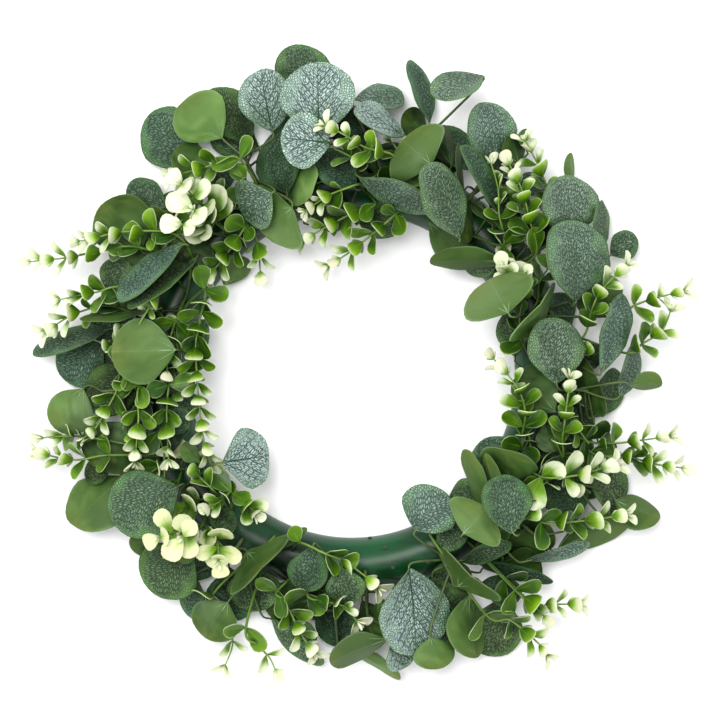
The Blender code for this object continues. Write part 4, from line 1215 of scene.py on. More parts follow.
@dataclass
class Layout:
    """Where every piece of greenery lies, found in the same order as the solids."""

    space: Space = field(default_factory=Space)
    sprays: list[Plant] = field(default_factory=list)
    sprigs: list[Plant] = field(default_factory=list)

    def arrange(self) -> None:
        """Places the stems, then the large leaves from the top down, then the pairs."""
        profile = half_round(RING_ARC_STEPS, CLEARANCE)
        self.space.add("ring", "ring", turned(profile, RING_STEPS))
        waiting = []
        for sector, leaves in sorted(spray_groups().items()):
            spray = self.new_spray(sector, leaves)
            waiting += [(-leaf.height, spray.name, i, spray, leaf)
                        for i, leaf in enumerate(leaves)]
        self.place_sprigs()
        for *_, spray, leaf in sorted(waiting, key=lambda item: item[:3]):
            if not spray.grow_leaf(leaf, LEAF_MOVES):
                LOG.warning("no room for a leaf of %s", spray.name)
        for sprig in self.sprigs:
            for path in sprig.stems:
                sprig.leaf_out(path)

    def add_fine_pairs(self) -> None:
        """Adds the finer pairs of small leaves to every stem."""
        for sprig in self.sprigs:
            for path, pairs in zip(sprig.stems, sprig.pairs):
                pairs += sprig.fill_out(path)

    def add_side_stems(self) -> None:
        """Gives every sprig a few greener side stems where there is room."""
        draw = random.Random(SIDE_STEM_SEED)
        for sprig in self.sprigs:
            sprig.main_stems = len(sprig.stems)
            for _ in range(SIDE_STEM_TRIES):
                route = self.side_route(sprig, draw)
                more = len(sprig.stems) - sprig.main_stems < SIDE_STEMS_MOST
                if more and all(over_greenery(point) for point in route):
                    sprig.add_side_stem(route)
            LOG.info("%s: %d side stems", sprig.name, len(sprig.stems) - sprig.main_stems)

    def side_route(self, sprig: Plant, draw: random.Random) -> list[Point]:
        """A random route away from a sprig's peg, with one bend.

        Args:
            sprig: The plant.
            draw: The random draw.

        Returns:
            The points that follow the peg's top.
        """
        turn = draw.uniform(0.0, 360.0)
        step = draw.uniform(*SIDE_STEM_LENGTHS) / len(SIDE_STEM_HEIGHT_SHARES)
        height = draw.uniform(*SIDE_STEM_HEIGHTS)
        route = []
        place = sprig.crown()
        for share in SIDE_STEM_HEIGHT_SHARES:
            heading = math.radians(turn)
            place = place + Vector((math.cos(heading), math.sin(heading), 0.0)) * step
            place.z = height * share
            route.append(place)
            turn += draw.uniform(*SIDE_STEM_BENDS)
        return route

    def add_undergrowth(self) -> None:
        """Fills the gaps with the lower leaves that the solids leave out."""
        draw = random.Random(UNDERGROWTH_SEED)
        grown = 0
        for search in (each for each in UNDERGROWTH_ROUNDS for _ in range(each.tries)):
            leaf, angle = self.low_leaf(draw, search)
            base, tip = plan(leaf.base_x_px, leaf.base_y_px), plan(leaf.tip_x_px, leaf.tip_y_px)
            low, high = search.tip_radii
            middle = base.lerp(tip, UNDERGROWTH_MIDDLE)
            if not low < ring_radius(tip) < high or self.space.covers(middle):
                continue
            near = sorted(self.sprays, key=lambda spray: turn_between(spray.peg, angle))
            grown += any(spray.grow_leaf(leaf, UNDERGROWTH_MOVES, search.hidden)
                         for spray in near[:UNDERGROWTH_SPRAYS])
        LOG.info("%d lower leaves", grown)

    def low_leaf(self, draw: random.Random, search: Round) -> tuple[Leaf, float]:
        """A random low leaf. Over the ring, the bare stretch stays bare.

        Args:
            draw: The random draw.
            search: Where it may stand.

        Returns:
            The leaf, and the angle of its base round the ring.
        """
        angle = draw.uniform(*search.angles)
        radius = draw.uniform(*search.base_radii)
        base = on_ring(radius, angle) - RING_CENTRE
        aside = draw.choice((-1, 1)) * draw.uniform(*UNDERGROWTH_TURNS)
        heading = math.radians(angle + aside)
        length = draw.uniform(*UNDERGROWTH_LENGTHS)
        tip = base + Vector((math.cos(heading), math.sin(heading), 0.0)) * length
        spots = [(RING_CENTRE_X_PX + p.x / MM_PER_PX, RING_CENTRE_Y_PX - p.y / MM_PER_PX)
                 for p in (base, tip)]
        face = draw.choice((DARK, DARK, BACK))
        width = length * draw.uniform(*UNDERGROWTH_WIDTH_SHARES) / MM_PER_PX
        over = abs(radius - RING_MIDDLE_RADIUS) < RING_WIDTH / 2
        height = draw.uniform(
            *(UNDERGROWTH_HEIGHTS if over else UNDERGROWTH_HEIGHTS_BESIDE_RING))
        dip = draw.uniform(*UNDERGROWTH_DIPS)
        return Leaf(face, *spots[0], *spots[1], width, height, dip), angle

    def new_spray(self, sector: int, leaves: Sequence[Leaf]) -> Plant:
        """The plant of one group of large leaves, with its stem.

        Args:
            sector: The number of its sector.
            leaves: Its leaves.

        Returns:
            The plant, which holds no leaf yet.
        """
        bases = [plan(leaf.base_x_px, leaf.base_y_px) for leaf in leaves]
        middle = sum(bases, Vector((0, 0, 0))) / len(bases)
        _, angle = facet_middle(ring_angle(middle))
        peg = on_ring(SPRAY_PEG_RADIUS_IN_PLAN, angle)
        name = f"leaf_spray_{sector + 1:02d}"
        spray = Plant(name, self.space, peg, SPRAY_STEM_RADIUS)
        spray.place_stem(spray_route(leaves, angle))
        self.sprays.append(spray)
        return spray

    def place_sprigs(self) -> None:
        """One plant for each sprig, with its stems."""
        taken: list[int] = []
        for sprig in SPRIGS:
            facet, angle = facet_middle(sprig.peg_angle, taken)
            taken.append(facet)
            peg = on_ring(SPRIG_PEG_RADIUS_IN_PLAN, angle)
            plant = Plant(f"sprig_{sprig.name}", self.space, peg, SPRIG_STEM_RADIUS)
            for stops in sprig.stems:
                plant.place_stem([plan(*stop) for stop in stops])
            self.sprigs.append(plant)


def operator(kind: str, swapped: bool = False) -> Callable[..., "Signal"]:
    """A method that adds one kind of Math node.

    Args:
        kind: The node's operation.
        swapped: Whether the Signal comes last.

    Returns:
        The method.
    """
    def method(*values: "Number") -> "Signal":
        """The result for the Signal and the other values."""
        return values[0].net.math(kind, *(reversed(values) if swapped else values))

    return method


class Signal:
    """A node's output whose arithmetic adds Math nodes."""

    __add__ = __radd__ = operator("ADD")
    __sub__ = operator("SUBTRACT")
    __rsub__ = operator("SUBTRACT", swapped=True)
    __mul__ = __rmul__ = operator("MULTIPLY")
    __truediv__ = operator("DIVIDE")
    __abs__ = operator("ABSOLUTE")
    sign = operator("SIGN")
    power = operator("POWER")
    most = operator("MAXIMUM")
    least = operator("MINIMUM")

    def __init__(self, net: "Net", socket: bpy.types.NodeSocket) -> None:
        """Wraps a socket of a net."""
        self.net = net
        self.socket = socket

    def step(self, low: "Number", high: "Number") -> "Signal":
        """A smooth step from 0 at low to 1 at high."""
        inputs = {"Value": self, "From Min": low, "From Max": high}
        return self.net.node("ShaderNodeMapRange", inputs, interpolation_type="SMOOTHSTEP")[0]

    def graded(self, base: float, gain: float) -> "Signal":
        """A base and a gain times this number, as the finishes' pairs give them."""
        return self * gain + base

    def to_nearest(self, spacing: float) -> "Signal":
        """The distance to the nearest of a row of lines with this spacing."""
        share = self.net.math("FRACT", self / spacing)
        return (0.5 - abs(share - 0.5)) * spacing


Number = Signal | float
Colour = tuple[float, float, float]


@dataclass
class Outputs:
    """The outputs of a node, found by name."""

    net: "Net"
    made: bpy.types.Node

    def __getitem__(self, name: str | int) -> Signal:
        """The output with a name or a place."""
        return Signal(self.net, self.made.outputs[name])


class Net:
    """A node tree, of a material or of geometry, to which nodes are added by name."""

    def __init__(self, tree: bpy.types.NodeTree) -> None:
        """Wraps a tree."""
        self.tree = tree

    def node(self, kind: str, inputs: Mapping | None = None, **settings: object) -> Outputs:
        """Adds a node.

        Args:
            kind: The node's type.
            inputs: What its sockets get, each a value or a Signal, by name or place.
            settings: Its own settings, which are made first.

        Returns:
            Its outputs.
        """
        made = self.tree.nodes.new(kind)
        for name, value in settings.items():
            setattr(made, name, value)
        for name, value in (inputs or {}).items():
            self.feed(made.inputs[name], value)
        return Outputs(self, made)

    def feed(self, socket: bpy.types.NodeSocket, value: object) -> None:
        """Gives a socket a value, or a link from a Signal.

        Args:
            socket: The socket.
            value: The value or the Signal.
        """
        if isinstance(value, Signal):
            self.tree.links.new(value.socket, socket)
        elif isinstance(value, tuple) and len(value) == 3 and socket.type == "RGBA":
            socket.default_value = (*value, 1.0)
        else:
            socket.default_value = value

    def math(self, operation: str, *values: Number) -> Signal:
        """Adds a Math node on values and Signals."""
        inputs = dict(enumerate(values))
        return self.node("ShaderNodeMath", inputs, operation=operation)["Value"]


class Paint(Net):
    """A material's nodes, with the few patterns that the finishes share."""

    def __init__(self, name: str) -> None:
        """Makes the material, with nothing but its output.

        Args:
            name: The material's name.
        """
        self.material = bpy.data.materials.new(name)
        self.material.use_nodes = True
        super().__init__(self.material.node_tree)
        self.tree.nodes.clear()

    def attribute(self, name: str) -> Signal:
        """A number that the mesh carries."""
        return self.node("ShaderNodeAttribute", attribute_name=name)["Fac"]

    def vector(self, x: Number, y: Number, z: Number = 0.0) -> Signal:
        """A vector of three numbers."""
        return self.node("ShaderNodeCombineXYZ", {"X": x, "Y": y, "Z": z})["Vector"]

    def noise(self, scale: float, detail: float, place: Signal | None = None) -> Signal:
        """Soft noise from about 0.3 to 0.7, by default on the piece's own place in metres."""
        place = place or self.node("ShaderNodeTexCoord")["Object"]
        inputs = {"Vector": place, "Scale": scale, "Detail": detail}
        return self.node("ShaderNodeTexNoise", inputs)["Fac"]

    def net_lines(self, vector: Signal, low: float, high: Number) -> Signal:
        """1 on the edges between flat cells of size 1, and 0 inside the cells."""
        edge = self.node("ShaderNodeTexVoronoi", {"Vector": vector, "Scale": 1.0},
                         voronoi_dimensions="2D", feature="DISTANCE_TO_EDGE")["Distance"]
        return 1.0 - edge.step(low, high)

    def mix(self, share: Number, first: object, second: object) -> Signal:
        """A blend of two colours."""
        inputs = {"Factor": share, 6: first, 7: second}
        return self.node("ShaderNodeMix", inputs, data_type="RGBA")[2]

    def times(self, colour: Signal, red: Number, green: Number, blue: Number) -> Signal:
        """A colour with each of its three parts multiplied."""
        inputs = {0: colour, 1: self.vector(red, green, blue)}
        return self.node("ShaderNodeVectorMath", inputs, operation="MULTIPLY")["Vector"]

    def shade(self, colour: Signal, brightness: Number) -> Signal:
        """A colour made lighter or darker."""
        return self.times(colour, brightness, brightness, brightness)

    def sunk(self, colour: Signal, painted_shade_openness: Signal | None = None) -> Signal:
        """A colour with painted shade: darker and greener where the piece lies deep among leaves.
        """
        share = painted_shade_openness or self.attribute("shade")
        return self.times(colour, share.power(1.3), share, share.power(1.45))

    def finish(
        self, colour: object, roughness: Number, relief: Signal | None = None,
        depth: float = 0.0, gloss: float = 0.5,
    ) -> Material:
        """Adds the shader and the output.

        Args:
            colour: The base colour.
            roughness: The roughness.
            relief: The height pattern, from 0 to 1.
            depth: How deep the relief is, in metres.
            gloss: How strong the shine is.

        Returns:
            The finished material.
        """
        inputs = {"Base Color": colour, "Roughness": roughness, "Specular IOR Level": gloss}
        if relief is not None:
            bumped = {"Height": relief, "Distance": depth, "Strength": 1.0}
            inputs["Normal"] = self.node("ShaderNodeBump", bumped)["Normal"]
        surface = self.node("ShaderNodeBsdfPrincipled", inputs)["BSDF"]
        self.node("ShaderNodeOutputMaterial", {"Surface": surface})
        return self.material


@dataclass(frozen=True)
class NettedFinish:
    """The netted front of a large leaf: bloomed cells between sunken dark veins."""

    name: str = "leaf_netted_front"
    pale_cell: Colour = (0.37, 0.47, 0.455)
    pale_vein: Colour = (0.014, 0.048, 0.022)
    deep_cell: Colour = (0.094, 0.182, 0.126)
    olive_cell: Colour = (0.125, 0.18, 0.05)
    deep_vein: Colour = (0.006, 0.025, 0.009)
    margin_vein: Colour = (0.04, 0.135, 0.012)
    rim: Colour = (0.035, 0.03, 0.02)
    vein_slope: float = math.radians(40.0)
    vein_curve: float = 0.006
    vein_step_mm: float = 6.4
    cell_mm: Span = (1.5, 4.2)
    margin_cell_mm: float = 1.95
    midrib_mm: float = 1.0
    midrib_taper: float = 1.15
    midrib_core: float = 0.45
    wobble: Span = (0.1, 1.0)
    wobble_mm: float = 3.0
    vein_edge: Span = (0.2, 0.6)
    net_thickness: Span = (0.46, -0.16)
    net_edges: Span = (0.03, 0.04)
    line_strength: Span = (0.4, 0.6)
    vein_strength: Span = (0.95, -0.5)
    net_strength: float = 0.9
    blotches: Span = (70.0, 3.0)
    margin: Span = (0.5, 0.95)
    margin_wobble: float = 1.1
    margin_green: float = 0.85
    blotch_light: Span = (0.55, 0.9)
    # Painted shade, darker towards the leaf's foot
    foot_light: Span = (0.72, 0.3)
    foot_reach: Span = (-0.1, 0.5)
    rim_edge: Span = (0.94, 1.0)
    rim_strength: Span = (0.85, -0.7)
    seed_spread: Span = (60.0, 300.0)
    half_shift: float = 91.0
    depth: float = 0.0004
    roughness: Span = (0.52, 0.12)
    gloss: float = 0.18

    def lines(self, paint: Paint, outer: Signal) -> Signal:
        """The veins: midrib, side veins and net, long in the middle, round at the margin.

        Args:
            paint: The material's nodes.
            outer: 1 at the leaf's margin and 0 in its middle.

        Returns:
            1 on a vein and 0 between veins.
        """
        u, v, seed = (paint.attribute(name) for name in ("u", "v", "seed"))
        x = u * paint.attribute("long")
        y = v * paint.attribute("wide")
        side = y.sign()
        reach = abs(y)
        wobble_seed, net_seed = self.seed_spread
        wobble = paint.noise(*self.wobble, paint.vector(x, y, seed * wobble_seed)) - 0.5
        rise, run = math.sin(self.vein_slope), math.cos(self.vein_slope)
        across = x * rise - reach * run - reach * reach * self.vein_curve
        across = across + wobble * self.wobble_mm
        across = across + side * (self.vein_step_mm / 4)
        along = x * run + reach * rise
        vein = 1.0 - across.to_nearest(self.vein_step_mm).step(*self.vein_edge)
        width = (self.midrib_taper - u) * self.midrib_mm
        midrib = 1.0 - reach.step(width * self.midrib_core, width)
        shift = seed * net_seed + side * self.half_shift
        short, long = self.cell_mm
        stretched = paint.vector(across / short + shift, along / long)
        even = paint.vector(x / self.margin_cell_mm + shift, y / self.margin_cell_mm)
        pale = paint.attribute("pale")
        thick = pale.graded(*self.net_thickness)
        middle_edge, outer_edge = self.net_edges
        middle_net = paint.net_lines(stretched, middle_edge, thick)
        outer_net = paint.net_lines(even, outer_edge, thick - outer_edge)
        net = middle_net * (1.0 - outer) + outer_net * outer
        strong = pale.graded(*self.line_strength)
        vein = (vein * outer.graded(*self.vein_strength) * strong).most(net * self.net_strength)
        return (midrib * strong).most(vein)

    def material(self) -> Material:
        """The material, which reads the blade's own u, v, length and width.

        Returns:
            The finished material.
        """
        paint = Paint(self.name)
        pale, tint = paint.attribute("pale"), paint.attribute("tint")
        blotch = paint.noise(*self.blotches)
        edge = paint.attribute("edge")
        outer = (edge + (blotch - 0.5) * self.margin_wobble).step(*self.margin)
        line = self.lines(paint, outer)
        deep = paint.mix(tint, self.deep_cell, self.olive_cell)
        cell = paint.mix(pale, deep, self.pale_cell)
        cell = paint.shade(cell, blotch.graded(*self.blotch_light))
        # Painted shade: the cells grow darker towards the leaf's foot
        foot = paint.attribute("u").step(*self.foot_reach)
        cell = paint.shade(cell, foot.graded(*self.foot_light))
        vein = paint.mix(pale, self.deep_vein, self.pale_vein)
        vein = paint.mix(outer * self.margin_green, vein, self.margin_vein)
        rim = edge.step(*self.rim_edge) * pale.graded(*self.rim_strength)
        # Painted shade, darker and greener where the leaf lies deep among others
        colour = paint.sunk(paint.mix(rim, paint.mix(line, cell, vein), self.rim))
        return paint.finish(colour, line.graded(*self.roughness), 1.0 - line, self.depth,
                            self.gloss)


@dataclass(frozen=True)
class PlainBackFinish:
    """The plain back of a large leaf: pale moulded ribs fan from its base."""

    name: str = "leaf_plain_back"
    green: Colour = (0.042, 0.088, 0.014)
    light_green: Colour = (0.165, 0.28, 0.078)
    rib: Colour = (0.2, 0.32, 0.15)
    olive: Colour = (0.09, 0.112, 0.014)
    middle_rib_mm: Span = (0.255, 0.85)
    flank_rib_mm: Span = (0.17, 0.68)
    rib_spread: float = 0.62
    rib_curve: float = 0.006
    rib_fade: Span = (0.16, 0.33)
    flank_strength: float = 0.8
    midrib_strength: float = 0.1
    clouds: Span = (38.0, 2.0)
    grains: Span = (900.0, 2.0)
    tip_edge: Span = (0.55, 1.15)
    tip_wobble: float = 1.2
    tip_strength: float = 0.5
    cloud_light: Span = (0.6, 0.5)
    grain_light: float = 0.3
    rim_edge: Span = (0.9, 1.0)
    rim_strength: float = 0.35
    grain_height: float = 0.12
    depth: float = 0.0005
    roughness: Span = (0.42, 0.12)
    gloss: float = 0.2

    def material(self) -> Material:
        """The material, which reads the blade's own u, v, length and width.

        Returns:
            The finished material.
        """
        paint = Paint(self.name)
        u, v, tint = (paint.attribute(name) for name in ("u", "v", "tint"))
        x = u * paint.attribute("long")
        reach = abs(v * paint.attribute("wide"))
        fade = 1.0 - u.step(*self.rib_fade)
        middle = 1.0 - reach.step(*self.middle_rib_mm)
        flank = abs(reach - x * self.rib_spread + x.power(2.0) * self.rib_curve)
        flank = 1.0 - flank.step(*self.flank_rib_mm)
        rib = middle.most(flank * self.flank_strength) * fade
        rib = rib.most(middle * self.midrib_strength)
        cloud, grain = paint.noise(*self.clouds), paint.noise(*self.grains)
        colour = paint.mix(tint, self.green, self.light_green)
        tip = (u + (cloud - 0.5) * self.tip_wobble).step(*self.tip_edge)
        colour = paint.mix(tip * self.tip_strength, colour, self.olive)
        light = cloud.graded(*self.cloud_light) + grain * self.grain_light
        colour = paint.shade(colour, light)
        rim = paint.attribute("edge").step(*self.rim_edge)
        colour = paint.mix(rim * self.rim_strength, colour, self.rib)
        # Painted shade, darker and greener where the leaf lies deep among others
        colour = paint.sunk(paint.mix(rib, colour, self.rib))
        return paint.finish(colour, cloud.graded(*self.roughness),
                            rib + grain * self.grain_height, self.depth, self.gloss)


@dataclass(frozen=True)
class SmallLeafFinish:
    """A glossy small leaf: green at its foot, white or cream further out, thin pale rim."""

    name: str
    root: Colour = (0.02, 0.08, 0.002)
    young: Colour = (0.21, 0.39, 0.008)
    tip: Colour = (0.68, 0.72, 0.52)
    cream: Colour = (0.62, 0.63, 0.34)
    blush: Colour = (0.53, 0.47, 0.31)
    back: bool = False
    clouds: Span = (160.0, 2.0)
    cloud_light: Span = (0.7, 0.6)
    white_start: Span = (1.35, -1.25)
    start_wobble: float = 0.3
    white_edge: Span = (-0.16, 0.42)
    yellow_edge: Span = (-0.65, 0.1)
    flank_reach: float = 0.3
    young_by_tint: float = 0.35
    young_by_reach: float = 0.7
    blush_by_tint: float = 0.5
    midline_edge: Span = (0.015, 0.06)
    midline_fade: Span = (0.3, 0.85)
    midline_strength: float = 0.35
    rim_edge: Span = (0.88, 1.0)
    rim_strength: float = 0.7
    rim_green: float = 0.35
    # How much the white parts are spared the painted shade
    white_glow: float = 0.5
    depth: float = 0.0002
    roughness: Span = (0.34, 0.12)
    gloss: float = 0.26

    def material(self) -> Material:
        """The material, which reads the leaf's own u, edge and fade.

        Returns:
            The finished material.
        """
        paint = Paint(self.name)
        u, v, fade, tint = (paint.attribute(name) for name in ("u", "v", "fade", "tint"))
        cloud = paint.noise(*self.clouds)
        start = fade.graded(*self.white_start) + (cloud - 0.5) * self.start_wobble
        reach = u + abs(v) * self.flank_reach
        white, yellow = (reach.step(start + low, start + high)
                         for low, high in (self.white_edge, self.yellow_edge))
        young = (tint * self.young_by_tint + yellow * self.young_by_reach).least(1.0)
        green = paint.mix(young, self.root, self.young)
        green = paint.shade(green, cloud.graded(*self.cloud_light))
        outer = self.blush if self.back else self.tip
        pale = paint.mix(tint * self.blush_by_tint, self.tip, outer)
        pale = paint.mix(paint.attribute("pale"), pale, self.cream)
        colour = paint.mix(white, green, pale)
        midline = 1.0 - abs(v).step(*self.midline_edge)
        midline = midline * (1.0 - u.step(*self.midline_fade))
        colour = paint.mix(midline * self.midline_strength, colour, self.young)
        rim = paint.attribute("edge").step(*self.rim_edge) * self.rim_strength
        colour = paint.mix(rim, colour, paint.mix(self.rim_green, self.tip, self.young))
        # Painted shade, lighter on the white parts of the leaf
        painted_shade_openness = (paint.attribute("shade") + white * self.white_glow).least(1.0)
        return paint.finish(paint.sunk(colour, painted_shade_openness), cloud.graded(*self.roughness),
                            midline, self.depth, self.gloss)


@dataclass(frozen=True)
class TwigFinish:
    """A moulded stem or stalk, with a fine grain."""

    name: str
    old: Colour
    young: Colour
    roughness: Span
    grains: Span = (700.0, 3.0)
    grain_light: Span = (0.75, 0.5)
    depth: float = 0.0002
    gloss: float = 0.25

    def material(self) -> Material:
        """The material, which reads the twig's own fade.

        Returns:
            The finished material.
        """
        paint = Paint(self.name)
        grain = paint.noise(*self.grains)
        colour = paint.mix(paint.attribute("fade"), self.old, self.young)
        # Grain, then painted shade where the twig lies deep among leaves
        colour = paint.sunk(paint.shade(colour, grain.graded(*self.grain_light)))
        return paint.finish(colour, grain.graded(*self.roughness), grain, self.depth,
                            self.gloss)


@dataclass(frozen=True)
class RingFinish:
    """Glossy dark green moulded plastic with a faint flow pattern."""

    name: str = "ring_plastic_glossy"
    deep: Colour = (0.002, 0.042, 0.012)
    light: Colour = (0.003, 0.078, 0.022)
    flows: Span = (14.0, 3.0)
    flow_edge: Span = (0.3, 0.75)
    grains: Span = (650.0, 2.0)
    depth: float = 0.00006
    roughness: Span = (0.26, 0.16)
    gloss: float = 0.3

    def material(self) -> Material:
        """The material, on the piece's own place.

        Returns:
            The finished material.
        """
        paint = Paint(self.name)
        flow, grain = paint.noise(*self.flows), paint.noise(*self.grains)
        colour = paint.mix(flow.step(*self.flow_edge), self.deep, self.light)
        # Painted shade darkens the ring where leaves crowd over it
        return paint.finish(paint.sunk(colour), flow.graded(*self.roughness), grain,
                            self.depth, self.gloss)


@dataclass(frozen=True)
class StubFinish:
    """The dusty brown cut end of an empty peg."""

    name: str = "peg_stub"
    brown: Colour = (0.012, 0.016, 0.01)
    grey: Colour = (0.07, 0.065, 0.045)
    grains: Span = (900.0, 3.0)
    grain_edge: Span = (0.35, 0.65)
    depth: float = 0.0002
    roughness: float = 0.75

    def material(self) -> Material:
        """The material, on the piece's own place.

        Returns:
            The finished material.
        """
        paint = Paint(self.name)
        grain = paint.noise(*self.grains)
        colour = paint.mix(grain.step(*self.grain_edge), self.brown, self.grey)
        return paint.finish(colour, self.roughness, grain, self.depth)


@dataclass(frozen=True)
class FloorFinish:
    """A plain pale floor."""

    name: str = "pale_floor"
    colour: Colour = (0.93, 0.93, 0.935)
    clouds: Span = (2.0, 1.0)
    cloud_light: Span = (0.995, 0.01)
    roughness: float = 0.7

    def material(self) -> Material:
        """The material, with a very faint unevenness.

        Returns:
            The finished material.
        """
        paint = Paint(self.name)
        light = paint.noise(*self.clouds).graded(*self.cloud_light)
        colour = paint.shade(paint.mix(0.0, self.colour, self.colour), light)
        return paint.finish(colour, self.roughness)


@dataclass(frozen=True)
class BladeTemplate:
    """A blade of length 1 and width 1 along +X, one closed skin, its front facing up.

    Attributes:
        name: The template's name.
        rows: Rows of faces from base to tip.
        columns: Faces across.
        rise: Heights gained with the square of the way across, with the way across
            itself, and with the square of the way along.
        thickness: Share of the width.
        belly: The share of the length at which it is widest.
        foot_power: The nearer it is to 1, the straighter the sides of the foot are.
        tip_power: The greater it is, the blunter the tip is.
    """

    name: str
    rows: int
    columns: int
    rise: tuple[float, float, float]
    thickness: float
    belly: float
    foot_power: float
    tip_power: float

    def half_width(self, u: float) -> float:
        """Half the width at a share of the length: a wedge at the foot, round beyond.

        Args:
            u: The share of the length.

        Returns:
            A share of the width.
        """
        if u < self.belly:
            return 0.5 - 0.5 * (1.0 - u / self.belly) ** self.foot_power
        beyond = (u - self.belly) / (1.0 - self.belly)
        return 0.5 * math.sqrt(1.0 - beyond**self.tip_power)

    def build(self) -> Piece:
        """Makes the blade, with u, v, edge and shell on its mesh.

        Returns:
            The blade's object.
        """
        stations = [0.5 - 0.5 * math.cos(math.pi * i / self.rows)
                    for i in range(self.rows + 1)]
        grid = [(0.0, 0.0)]
        for u in stations[1:-1]:
            grid += [(u, -1.0 + 2.0 * j / self.columns) for j in range(self.columns + 1)]
        grid.append((1.0, 0.0))
        points, marks = [], []
        for lift in (self.thickness / 2, -self.thickness / 2):
            for u, share in grid:
                v = share * self.half_width(u) if 0 < u < 1 else 0.0
                cup, fold, bend = self.rise
                height = cup * v * v + fold * abs(v) + bend * u * u
                points.append(Vector((u, v, height + lift)))
                marks.append((u, v, max(abs(share), (2 * u - 1) ** 3 if u > 0.5 else 0.0)))
        faces, shells = self.skin(len(grid))
        mesh = bpy.data.meshes.new(self.name)
        mesh.from_pydata(points, [], faces)
        for i, name in enumerate(("u", "v", "edge")):
            put(mesh, name, "FLOAT", [mark[i] for mark in marks])
        put(mesh, "shell", "INT", [shell.value for shell in shells], "FACE")
        return linked(self.name, mesh)

    def skin(self, count: int) -> tuple[list[Corners], list[Shell]]:
        """The faces of the front, the back and the rim.

        Args:
            count: How many points each side has.

        Returns:
            The faces, and which shell each belongs to.
        """
        wide = self.columns + 1
        last = count - 1
        front: list[Corners] = []
        for j in range(self.columns):
            front.append((0, 1 + j, 2 + j))
            front.append((last, last - 1 - j, last - 2 - j))
        for i in range(self.rows - 2):
            for j in range(self.columns):
                a = 1 + i * wide + j
                front.append((a, a + wide, a + wide + 1, a + 1))
        back = [tuple(count + k for k in reversed(face)) for face in front]
        right = [1 + i * wide for i in range(self.rows - 1)]
        left = [k + self.columns for k in right]
        outline = [0] + right + [last] + left[::-1]
        rim = [(a, a + count, b + count, b)
               for a, b in zip(outline, outline[1:] + outline[:1])]
        shells = [Shell.FRONT] * len(front) + [Shell.BACK] * len(back) + [Shell.RIM] * len(rim)
        return front + back + rim, shells


def put(
    mesh: bpy.types.Mesh, name: str, kind: str, values: Sequence, domain: str = "POINT"
) -> None:
    """Stores an attribute on a mesh.

    Args:
        mesh: The mesh.
        name: The attribute's name.
        kind: FLOAT, INT or FLOAT_VECTOR.
        values: One value for each element.
        domain: What the values belong to.
    """
    layer = mesh.attributes.new(name, kind, domain)
    if kind == "FLOAT_VECTOR":
        layer.data.foreach_set("vector", [number for value in values for number in value])
    else:
        layer.data.foreach_set("value", values)


def linked(name: str, mesh: bpy.types.Mesh) -> Piece:
    """An object in the scene that holds a mesh."""
    made = bpy.data.objects.new(name, mesh)
    bpy.context.scene.collection.objects.link(made)
    return made


def share_of(value: float, limits: Span) -> float:
    """How far a value is from the first limit to the second, from 0 to 1."""
    low, high = limits
    return min(1.0, max(0.0, (value - low) / (high - low)))


def between(ends: Span, share: float) -> float:
    """The value at a share of the way from the first to the second."""
    return ends[0] + (ends[1] - ends[0]) * share


def near(leaf: Leaf, places: Sequence[Span], reach: Span) -> float:
    """How near a leaf's tip is to the nearest of a few places, from 1 to 0."""
    apart = min(math.hypot(leaf.tip_x_px - x, leaf.tip_y_px - y) for x, y in places)
    return 1.0 - share_of(apart, reach)


def surface_of(pieces: Sequence[Piece]) -> BVHTree:
    """The surface of several pieces together, for ray casts."""
    shapes = (piece.data for piece in pieces)
    return BVHTree.FromPolygons(*joined(
        Mesh([vertex.co for vertex in shape.vertices], [face.vertices for face in shape.polygons])
        for shape in shapes))


def unhooked(start: Point, knee: Point, base: Point) -> list[Point]:
    """A stalk whose knee is drawn in to the blade where it would turn back sharply."""
    straight = (knee - start).normalized().dot((base - knee).normalized())
    return [start, knee.lerp(base, HOOK_DRAW * (1.0 - straight)), base]


def eased(path: Path) -> list[Point]:
    """A path with its corners cut twice, and its ends kept.

    Args:
        path: The path.

    Returns:
        Its rounder path.
    """
    for _ in range(2):
        cuts = [a.lerp(b, share) for a, b in zip(path, path[1:]) for share in CORNER_CUTS]
        path = [path[0], *cuts, path[-1]]
    return list(path)


class Anchor(NamedTuple):
    """Where one blade is set, and the numbers that colour it."""

    place: Point
    along: Point
    up: Point
    long: float
    wide: float
    pale: float
    tint: float
    fade: float
    seed: float
    fold: float


class Twig(NamedTuple):
    """A stem or stalk: its points, its radius at both ends, and its fade at both ends."""

    path: list[Point]
    radii: Span
    fades: Span


def anchor_points(name: str, anchors: Sequence[Anchor]) -> Piece:
    """A mesh with one point for each blade, in metres.

    Args:
        name: The object's name.
        anchors: Where the blades go.

    Returns:
        The object, which carries each blade's directions, size and colour numbers.
    """
    mesh = bpy.data.meshes.new(name)
    mesh.from_pydata([a.place * METRES_PER_MM for a in anchors], [], [])
    sizes = [Vector((a.long, a.wide, a.wide)) * METRES_PER_MM for a in anchors]
    put(mesh, "size", "FLOAT_VECTOR", sizes)
    for key, kind in Anchor.__annotations__.items():
        if key != "place":
            kind = "FLOAT" if kind is float else "FLOAT_VECTOR"
            put(mesh, key, kind, [getattr(a, key) for a in anchors])
    return linked(name, mesh)


